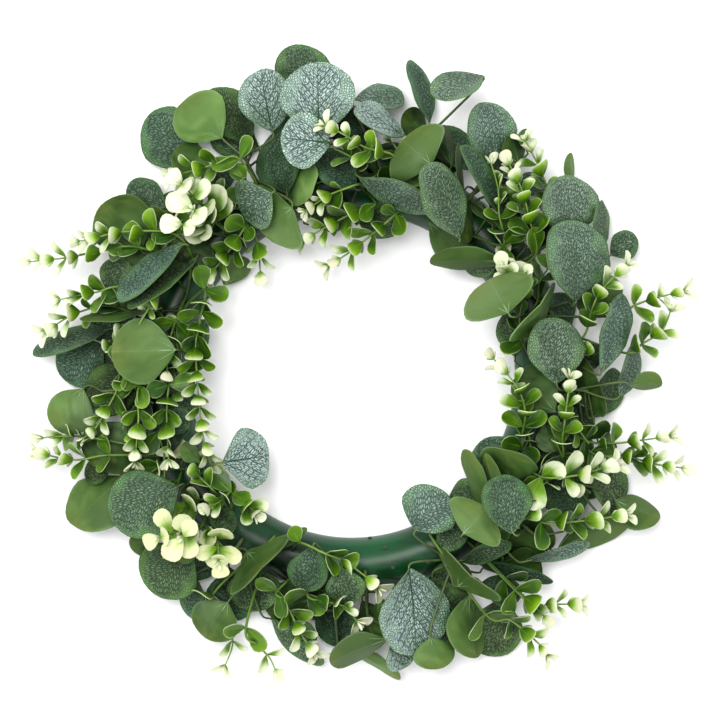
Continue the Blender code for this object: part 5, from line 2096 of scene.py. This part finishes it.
def twig_lines(name: str, twigs: Sequence[Twig]) -> Piece:
    """A mesh with one chain of edges for each twig, in metres.

    Args:
        name: The object's name.
        twigs: The stems and stalks.

    Returns:
        The object, which carries the thickness and the fade at each point.
    """
    points, edges, thick, fade = [], [], [], []
    for twig in twigs:
        start = len(points)
        count = len(twig.path)
        points += [point * METRES_PER_MM for point in twig.path]
        edges += [(start + i, start + i + 1) for i in range(count - 1)]
        shares = [i / (count - 1) for i in range(count)]
        thick += [between(twig.radii, share) * METRES_PER_MM for share in shares]
        fade += [between(twig.fades, share) for share in shares]
    mesh = bpy.data.meshes.new(name)
    mesh.from_pydata(points, edges, [])
    put(mesh, "thick", "FLOAT", thick)
    put(mesh, "fade", "FLOAT", fade)
    return linked(name, mesh)


class Dress(NamedTuple):
    """What one kind of greenery wears, and how wavy its blades and how round its twigs are."""

    blade: Piece
    front: Material
    back: Material
    bark: Material
    wave: float
    wave_scale: float
    twig_sides: int
    twig_step: float = 0.0025


class GreeneryTree(Net):
    """Geometry Nodes that set blades on points and sweep twigs along chains of edges."""

    INPUTS = {
        "points": "Geometry", "twigs": "Object", "blade": "Object", "front": "Material",
        "back": "Material", "bark": "Material", "wave": "Float", "wave_scale": "Float",
        "twig_sides": "Int", "twig_step": "Float",
    }
    SPENT = ("along", "up", "size", "thick", "fold")

    def __init__(self) -> None:
        """Builds the tree once, for all plants."""
        super().__init__(bpy.data.node_groups.new("greenery", "GeometryNodeTree"))
        made = {name: self.tree.interface.new_socket(
            name, in_out="INPUT", socket_type=f"NodeSocket{kind}")
            for name, kind in self.INPUTS.items()}
        self.keys = {name: socket.identifier for name, socket in made.items()}
        self.tree.interface.new_socket(
            "greenery", in_out="OUTPUT", socket_type="NodeSocketGeometry")
        given = self.node("NodeGroupInput")
        parts = [self.blades(given), self.twigs(given)]
        joined = self.tree.nodes.new("GeometryNodeJoinGeometry")
        for part in reversed(parts):
            self.tree.links.new(part.socket, joined.inputs[0])
        self.node("NodeGroupOutput", {0: Signal(self, joined.outputs[0])})

    def named(self, name: str, kind: str = "FLOAT") -> Signal:
        """An attribute of the geometry."""
        return self.node("GeometryNodeInputNamedAttribute", {"Name": name},
                         data_type=kind)["Attribute"]

    def vector_math(self, operation: str, first: object, second: object) -> Signal:
        """Adds a Vector Math node. To scale, the second is a number."""
        inputs = {0: first, "Scale" if operation == "SCALE" else 1: second}
        return self.node("ShaderNodeVectorMath", inputs, operation=operation)["Vector"]

    def of_shell(self, shell: Shell, operation: str = "EQUAL") -> Signal:
        """Whether a face belongs to a shell, or with NOT_EQUAL that it doesn't."""
        return self.node("FunctionNodeCompare", {2: self.named("shell", "INT"), 3: shell.value},
                         data_type="INT", operation=operation)[0]

    def blades(self, given: Outputs) -> Signal:
        """Sets the blade on every point, waves its margin and gives its shells finishes.

        Args:
            given: The tree's inputs.

        Returns:
            The blades.
        """
        blade = self.node("GeometryNodeObjectInfo", {"Object": given["blade"]})["Geometry"]
        along, up, size = (self.named(key, "FLOAT_VECTOR") for key in ("along", "up", "size"))
        turn = self.node("FunctionNodeAxesToRotation", {0: along, 1: up},
                         primary_axis="X", secondary_axis="Z")[0]
        placed = self.node("GeometryNodeInstanceOnPoints", {
            "Points": given["points"], "Instance": blade, "Rotation": turn, "Scale": size})[0]
        real = self.node("GeometryNodeRealizeInstances", {0: placed})[0]
        noise = self.node("ShaderNodeTexNoise", {"Scale": given["wave_scale"], "Detail": 1.0})
        wave = given["wave"] * self.named("edge").power(1.5)
        folded = abs(self.named("v")) * self.named("wide") * self.named("fold")
        lifted = self.vector_math(
            "SCALE", up, (noise[0] - 0.5) * wave + folded * METRES_PER_MM)
        swayed = self.vector_math("SUBTRACT", noise[1], (0.5, 0.5, 0.5))
        offset = self.vector_math("ADD", lifted, self.vector_math("SCALE", swayed, wave))
        shape = self.node("GeometryNodeSetPosition", {"Geometry": real, "Offset": offset})[0]
        finishes = {Shell.FRONT: "front", Shell.BACK: "back", Shell.RIM: "back"}
        for shell, finish in finishes.items():
            shape = self.node("GeometryNodeSetMaterial", {
                "Geometry": shape, "Selection": self.of_shell(shell),
                "Material": given[finish]})[0]
        return self.node("GeometryNodeSetShadeSmooth", {
            "Geometry": shape, "Shade Smooth": self.of_shell(Shell.RIM, "NOT_EQUAL")})[0]

    def twigs(self, given: Outputs) -> Signal:
        """Sweeps a round section along every chain of edges.

        Args:
            given: The tree's inputs.

        Returns:
            The twigs.
        """
        lines = self.node("GeometryNodeObjectInfo", {"Object": given["twigs"]})["Geometry"]
        curve = self.node("GeometryNodeMeshToCurve", {"Mesh": lines})[0]
        curve = self.node("GeometryNodeCurveSplineType", {"Curve": curve},
                          spline_type="CATMULL_ROM")[0]
        curve = self.node("GeometryNodeResampleCurve", {
            "Curve": curve, "Length": given["twig_step"]}, mode="LENGTH")[0]
        section = self.node("GeometryNodeCurvePrimitiveCircle", {
            "Resolution": given["twig_sides"], "Radius": 1.0})[0]
        swept = self.node("GeometryNodeCurveToMesh", {
            "Curve": curve, "Profile Curve": section, "Scale": self.named("thick"),
            "Fill Caps": True})[0]
        return self.node("GeometryNodeSetMaterial", {
            "Geometry": swept, "Material": given["bark"]})[0]

    def grow(
        self, name: str, anchors: Sequence[Anchor], twigs: Sequence[Twig], dress: Dress
    ) -> Piece:
        """Makes one plain mesh of a plant's blades and twigs.

        Args:
            name: The piece's name.
            anchors: Where its blades go.
            twigs: Its stems and stalks.
            dress: What it wears.

        Returns:
            The finished piece, with no modifier on it.
        """
        piece = anchor_points(name, anchors)
        lines = twig_lines(f"{name}_lines", twigs)
        modifier = piece.modifiers.new("greenery", "NODES")
        modifier.node_group = self.tree
        modifier[self.keys["twigs"]] = lines
        for key, value in dress._asdict().items():
            modifier[self.keys[key]] = value
        bpy.context.view_layer.update()
        graph = bpy.context.evaluated_depsgraph_get()
        mesh = bpy.data.meshes.new_from_object(piece.evaluated_get(graph))
        piece.modifiers.clear()
        for spent in self.SPENT:
            if spent in mesh.attributes:
                mesh.attributes.remove(mesh.attributes[spent])
        piece.data = mesh
        bpy.data.objects.remove(lines)
        return piece


def hand_over(piece: Piece, node: str, slot: str) -> None:
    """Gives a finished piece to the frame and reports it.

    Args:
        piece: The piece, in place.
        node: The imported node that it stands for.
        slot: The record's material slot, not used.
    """
    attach(piece, "root")
    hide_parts(node)
    LOG.info("%s stands for %s: %d faces", piece.name, node, len(piece.data.polygons))


def is_cream(plant: Plant) -> bool:
    """Whether a sprig's leaves are pale from the root on."""
    return plant.name.removeprefix("sprig_") in CREAM_SPRIGS


@dataclass
class Greenery:
    """One kind of greenery. Each kind has its own dress, anchors, twigs and slot."""

    tree: GreeneryTree

    def build(self, plants: Sequence[Plant]) -> list[Piece]:
        """Makes one piece for each plant and hands it over.

        Args:
            plants: The plants.

        Returns:
            The pieces.
        """
        dress = self.dress()
        made = []
        for plant in plants:
            anchors = self.anchors(plant)
            piece = self.tree.grow(f"{plant.name}_foliage", anchors, self.twigs(plant), dress)
            hand_over(piece, plant.name, self.slot(plant))
            made.append(piece)
        bpy.data.objects.remove(dress.blade)
        return made


@dataclass
class LeafSprays(Greenery):
    """The sprays of large round leaves."""

    stalk_sunk: float = 0.12
    stalk_radii: Span = (STALK_RADIUS * 1.1, 0.45)
    stem_taper: float = 0.75
    stem_fades: Span = (0.0, 0.3)
    wave: float = 0.005
    wave_scale: float = 34.0
    twig_sides: int = 8
    draw: random.Random = field(default_factory=lambda: random.Random(11))

    def dress(self) -> Dress:
        """The blade and the finishes of the sprays.

        Returns:
            What a spray wears.
        """
        blade = BladeTemplate(
            "large_blade", rows=14, columns=10, rise=(LEAF_CUP / 2, 0.0, -LEAF_CUP),
            thickness=0.018, belly=0.5, foot_power=1.6, tip_power=2.2)
        bark = TwigFinish("leaf_stalk", (0.06, 0.09, 0.025), (0.16, 0.22, 0.075),
                          roughness=(0.45, 0.1))
        return Dress(blade.build(), NettedFinish().material(), PlainBackFinish().material(),
                     bark.material(), self.wave, self.wave_scale, self.twig_sides)

    def slot(self, plant: Plant) -> str:
        """The record's material slot of a spray."""
        return "leaf_green"

    def anchors(self, plant: Plant) -> list[Anchor]:
        """The anchors of a spray's leaves."""
        return [self.anchor(blade) for blade in plant.blades]

    def anchor(self, blade: Blade) -> Anchor:
        """A placed leaf as an anchor. A leaf that shows its back is turned over.

        Args:
            blade: The leaf.

        Returns:
            The anchor, with its colour numbers.
        """
        leaf, pose, _ = blade
        over = -1.0 if leaf.face == BACK else 1.0
        bloom = BLOOM_LEAST + (1.0 - BLOOM_LEAST) * near(leaf, BLOOM_PLACES_PX, BLOOM_REACH_PX)
        pale = {FRONT: bloom, DARK: 0.0, BACK: BACK_BLOOM}[leaf.face]
        pale = min(1.0, pale + self.draw.uniform(0.0, BLOOM_SPREAD))
        fold = self.draw.uniform(*(BACK_FOLD if leaf.face == BACK else FRONT_FOLD))
        tint = self.draw.uniform(*(BACK_TINTS if leaf.face == BACK else (0.0, 1.0)))
        if leaf.face == BACK:
            tint = max(tint, near(leaf, BRIGHT_PLACES_PX, BRIGHT_REACH_PX))
        return Anchor(pose.base, pose.along, pose.upward * over, pose.length, pose.width,
                      pale, tint, 0.0, self.draw.random(), fold)

    def twigs(self, plant: Plant) -> list[Twig]:
        """A spray's stem and the stalks, which run on a little under their blades.

        Args:
            plant: The spray.

        Returns:
            Its twigs.
        """
        radii = (plant.radius, plant.radius * self.stem_taper)
        found = [Twig([plant.foot()] + path, radii, self.stem_fades) for path in plant.stems]
        for _, pose, stalk in plant.blades:
            inside = pose.base + pose.along * (self.stalk_sunk * pose.length)
            path = eased(unhooked(*stalk) + [inside])
            found.append(Twig(path, self.stalk_radii, (0.0, 1.0)))
        return found


@dataclass
class LeafySprigs(Greenery):
    """The sprigs of small paired leaves."""

    large_leaves: BVHTree
    tip_share: float = 0.5
    wave: float = 0.0012
    wave_scale: float = 90.0
    twig_sides: int = 6
    cream_floor: float = 0.62
    light_seeking: float = 0.7
    growth: Span = (1.04, 1.4)
    cream_growth: float = 1.15
    tip_loss: float = 0.22
    narrowed: Span = (0.85, 1.0)
    cream_lean: Span = (0.6, 1.0)
    side_fade: float = 0.6
    fade_power: float = 1.2
    uneven: float = 0.16
    widened: Span = (2.0, 22.0)
    widest: float = 84.0
    turned: float = 14.0
    rim_places: tuple[Point, ...] = (
        Vector((1.0, 0.0, 0.0)), Vector((0.9, 0.0, 0.15)), Vector((0.9, 0.0, -0.1)),
        Vector((0.85, 0.4, 0.1)), Vector((0.85, -0.4, 0.1)),
        Vector((0.5, 0.5, 0.1)), Vector((0.5, -0.5, 0.1)))
    margins_mm: tuple[float, ...] = (-1.2, 0.0, 1.2)
    trim_to: float = 0.92
    least_kept: float = 0.5
    star_leaves: int = 4
    star_starts: Span = (20.0, 70.0)
    star_openings: Span = (22.0, 48.0)
    star_lengths: Span = (0.7, 1.1)
    star_sunk: float = 0.8
    draw: random.Random = field(default_factory=lambda: random.Random(23))

    def dress(self) -> Dress:
        """The blade and the finishes of the sprigs.

        Returns:
            What a sprig wears.
        """
        blade = BladeTemplate(
            "small_blade", rows=8, columns=4, rise=(0.65, 0.0, PAIR_CUP), thickness=0.04,
            belly=0.6, foot_power=1.4, tip_power=2.2)
        bark = TwigFinish("sprig_stem", (0.07, 0.15, 0.015), (0.25, 0.37, 0.06),
                          roughness=(0.35, 0.1))
        front = SmallLeafFinish("small_leaf_front").material()
        back = SmallLeafFinish("small_leaf_back", back=True).material()
        return Dress(blade.build(), front, back, bark.material(), self.wave,
                     self.wave_scale, self.twig_sides)

    def slot(self, plant: Plant) -> str:
        """The record's material slot of a sprig."""
        return "sprig_cream" if is_cream(plant) else "sprig_green"

    def cream(self, plant: Plant) -> float:
        """How far the pale leaves of a plant lean to cream."""
        return self.draw.uniform(*self.cream_lean) if "cream" in plant.name else 0.0

    def lit(self, along: Point, normal: Point) -> Point:
        """A leaf's normal, turned about its midrib towards the light."""
        turned_up = normal + Vector((0.0, 0.0, self.light_seeking))
        return (turned_up - along * turned_up.dot(along)).normalized()

    def fade(self, plant: Plant, share: float) -> float:
        """How far towards white a leaf has gone, from its share of the way to the tip.

        Args:
            plant: The sprig.
            share: The share of the way.

        Returns:
            0 for green and 1 for white.
        """
        least = self.cream_floor if is_cream(plant) else 0.0
        plain = share**self.fade_power + self.draw.uniform(-self.uneven, self.uneven)
        return min(1.0, max(0.0, least + (1.0 - least) * plain))

    def anchors(self, plant: Plant) -> list[Anchor]:
        """The anchors of a sprig's leaves, trimmed where they would cross a large leaf."""
        stems = enumerate(zip(plant.stems, plant.pairs))
        return [kept for i, (path, pairs) in stems
                for anchor in self.stem_anchors(plant, path, pairs, i >= plant.main_stems)
                for kept in self.trimmed(anchor)]

    def twigs(self, plant: Plant) -> list[Twig]:
        """A sprig's stems. The first begins at the foot of its peg."""
        radii = (plant.radius, plant.radius * self.tip_share)
        first, *others = plant.stems
        return [Twig(path, radii, (0.0, 1.0)) for path in ([plant.foot()] + first, *others)]

    def stem_anchors(
        self, plant: Plant, path: Path, pairs: Sequence[Pair], side: bool
    ) -> list[Anchor]:
        """The anchors of one stem's leaves, with the star of narrow ones at its tip.

        Args:
            plant: The plant that carries the stem.
            path: The stem.
            pairs: Its pairs.
            side: Whether it is a side stem, which stays greener.

        Returns:
            The anchors.
        """
        found = []
        whole = path_length(path)
        bare = (path[1] - path[0]).length
        for leaves in pairs:
            share = max(0.0, (leaves.distance - bare) / (whole - bare))
            for sign in (1.0, -1.0):
                wide = leaves._replace(
                    opening=min(self.widest, leaves.opening + self.draw.uniform(*self.widened)),
                    azimuth=leaves.azimuth + self.draw.uniform(-self.turned, self.turned))
                along, normal = wide.directions(sign)
                grown = self.draw.uniform(*self.growth) * (1.0 - self.tip_loss * share)
                grown *= self.cream_growth if is_cream(plant) else 1.0
                found.append(Anchor(
                    leaves.place, along, self.lit(along, normal), leaves.length * grown,
                    leaves.width * grown * self.draw.uniform(*self.narrowed),
                    self.cream(plant), self.draw.random(),
                    self.fade(plant, share * (self.side_fade if side else 1.0)),
                    self.draw.random(), 0.0))
        return found + ([] if side else self.star(path))

    def trimmed(self, anchor: Anchor) -> list[Anchor]:
        """The anchor, its blade shortened to end before a large leaf, or nothing.

        Args:
            anchor: A small leaf's anchor.

        Returns:
            A list of the one anchor, or an empty one.
        """
        across = anchor.up.cross(anchor.along)
        size = Vector((anchor.long, anchor.wide, anchor.long))
        share = 1.0
        for place, margin in product(self.rim_places, self.margins_mm):
            u, v, w = (a * b * METRES_PER_MM for a, b in zip(place, size))
            way = anchor.along * u + across * v + anchor.up * w
            start = (anchor.place + anchor.up * margin) * METRES_PER_MM
            found = self.large_leaves.ray_cast(start, way.normalized(), way.length)
            if found[0]:
                share = min(share, self.trim_to * found[3] / way.length)
        if share < self.least_kept:
            return []
        return [anchor._replace(long=anchor.long * share, wide=anchor.wide * share)]

    def star(self, path: Path) -> list[Anchor]:
        """The narrow young leaves at a stem's tip.

        Args:
            path: The stem.

        Returns:
            Their anchors.
        """
        axis = (path[-1] - path[-2]).normalized()
        found = []
        start = self.draw.uniform(*self.star_starts)
        for i in range(self.star_leaves):
            opening = self.draw.uniform(*self.star_openings)
            turn = start + QUARTER_TURN * i
            along, normal = Pair(0.0, path[-1], axis, turn, opening, 0.0, 0.0).directions(1.0)
            length = STAR_LENGTH * self.draw.uniform(*self.star_lengths)
            found.append(Anchor(
                path[-1] - axis * self.star_sunk, along, normal, length, STAR_WIDTH, 0.0,
                self.draw.random(), 1.0, self.draw.random(), 0.0))
        return found


@dataclass
class MouldedRing:
    """The half-round ring with its open back."""

    steps: int = 192
    arc_steps: int = 24
    stub_sides: int = 14
    sharp_from: float = 40.0

    def build(self) -> Piece:
        """Makes the ring finer than its solid and hands it over.

        Returns:
            The ring's piece.
        """
        stubs = self.stubs()
        shape = joined([turned(half_round(self.arc_steps), self.steps), *stubs])
        mesh = bpy.data.meshes.new("moulded_ring")
        mesh.from_pydata([p * METRES_PER_MM for p in shape.points], [], shape.faces)
        mesh.shade_smooth()
        mesh.set_sharp_from_angle(angle=math.radians(self.sharp_from))
        mesh.materials.append(RingFinish().material())
        mesh.materials.append(StubFinish().material())
        for face in mesh.polygons[-sum(len(stub.faces) for stub in stubs):]:
            face.material_index = 1
        ring = linked("moulded_ring", mesh)
        hand_over(ring, "ring", "ring_plastic")
        return ring

    def stubs(self) -> list[Mesh]:
        """The cut ends of empty pegs, each a short round stub on the face.

        Returns:
            Their meshes.
        """
        made = []
        for x_px, y_px in STUBS_PX:
            foot = plan(x_px, y_px)
            radius = ring_radius(foot)
            foot.z = ring_top(radius)
            outward = (foot - RING_CENTRE).xy.to_3d().normalized()
            slope = (radius - RING_MIDDLE_RADIUS) / (RING_WIDTH / 2) ** 2
            normal = (outward * slope + Vector((0, 0, foot.z / RING_HEIGHT**2))).normalized()
            ends = [foot - normal * STUB_SUNK, foot + normal * STUB_RISE]
            made.append(tube(ends, STUB_RADIUS, self.stub_sides))
        return made


@dataclass
class PaintedShade:
    """Painted shade: how open each point of the wreath lies, kept so that plastic deep among the
    leaves is painted darker.
    """

    reach: float = 0.11
    clear_of_skin: float = 0.0006
    least_slope: float = 0.15
    darkest: float = 0.08
    gain: float = 1.16

    def directions(self) -> list[Vector]:
        """Eighteen directions, even all round."""
        steps = product((-1, 0, 1), repeat=3)
        return [Vector(step).normalized() for step in steps if 0 < sum(map(abs, step)) < 3]

    def paint(self, pieces: Sequence[Piece]) -> None:
        """Keeps each point's painted shade on the pieces, 1 where it is open.

        Args:
            pieces: All pieces of the wreath.
        """
        tree = surface_of(pieces)
        ways = self.directions()
        for piece in pieces:
            shades = [self.shade(tree, vertex.co, vertex.normal, ways)
                      for vertex in piece.data.vertices]
            put(piece.data, "shade", "FLOAT", shades)

    def shade(
        self, tree: BVHTree, place: Vector, normal: Vector, ways: Sequence[Vector]
    ) -> float:
        """The painted shade of one point.

        Args:
            tree: All pieces.
            place: The point.
            normal: The surface's normal there.
            ways: The directions to look in.

        Returns:
            A brightness of the colour, from the darkest to 1.
        """
        seen = [way for way in ways if way.dot(normal) > self.least_slope]
        clear = sum(
            tree.ray_cast(place + way * self.clear_of_skin, way, self.reach)[0] is None
            for way in seen)
        share = min(1.0, self.gain * clear / max(1, len(seen)))
        return self.darkest + (1.0 - self.darkest) * share


@dataclass
class Studio:
    """The pale floor, the soft lights and the camera straight above."""

    floor_half: float = 4.0
    floor_height: float = -0.0003
    sky: float = 1.1
    key_power: float = 104.0
    key_place: tuple[float, float, float] = (-0.7, 0.8, 3.4)
    key_size: float = 1.7
    aim_height: float = 35.0

    def build(self) -> None:
        """Makes the floor, the lights and the camera."""
        self.lay_floor()
        self.light()
        self.place_camera()

    def lay_floor(self) -> None:
        """A square of plain floor just under the wreath."""
        half = self.floor_half
        corners = [(-half, -half), (half, -half), (half, half), (-half, half)]
        mesh = bpy.data.meshes.new("floor")
        mesh.from_pydata([(x, y, self.floor_height) for x, y in corners], [], [(0, 1, 2, 3)])
        mesh.materials.append(FloorFinish().material())
        linked("floor", mesh)

    def light(self) -> None:
        """A pale sky and one large soft lamp, high and to the upper left."""
        scene = bpy.context.scene
        scene.world = bpy.data.worlds.new("sky")
        scene.world.use_nodes = True
        background = scene.world.node_tree.nodes["Background"]
        background.inputs["Color"].default_value = (1.0, 1.0, 1.0, 1.0)
        background.inputs["Strength"].default_value = self.sky
        lamp = bpy.data.lights.new("key", "AREA")
        lamp.energy = self.key_power
        lamp.size = self.key_size
        held = bpy.data.objects.new("key", lamp)
        held.location = self.key_place
        aim = -Vector(self.key_place)
        held.rotation_euler = aim.to_track_quat("-Z", "Y").to_euler()
        scene.collection.objects.link(held)
        scene.view_settings.view_transform = "Standard"

    def place_camera(self) -> None:
        """A long lens straight above the middle of the photo."""
        centre = plan(IMAGE_PX / 2, IMAGE_PX / 2, self.aim_height + CAMERA_HEIGHT_MM)
        lens = bpy.data.cameras.new("camera")
        lens.sensor_width = SENSOR_MM
        lens.lens = SENSOR_MM * CAMERA_HEIGHT_MM / (IMAGE_PX * MM_PER_PX)
        held = bpy.data.objects.new("camera", lens)
        held.location = centre * METRES_PER_MM
        bpy.context.scene.collection.objects.link(held)
        bpy.context.scene.camera = held


def main() -> None:
    """Arranges the greenery, dresses the wreath and sets the studio."""
    logging.basicConfig(level=logging.INFO, format="%(message)s")
    layout = Layout()
    layout.arrange()
    layout.add_fine_pairs()
    layout.add_side_stems()
    layout.add_undergrowth()
    tree = GreeneryTree()
    ring = MouldedRing().build()
    sprays = LeafSprays(tree).build(layout.sprays)
    sprigs = LeafySprigs(tree, surface_of(sprays)).build(layout.sprigs)
    # Painted shade: every piece's colour is darkened where leaves close round it
    PaintedShade().paint([ring, *sprays, *sprigs])
    Studio().build()


if __name__ == "__main__":
    main()
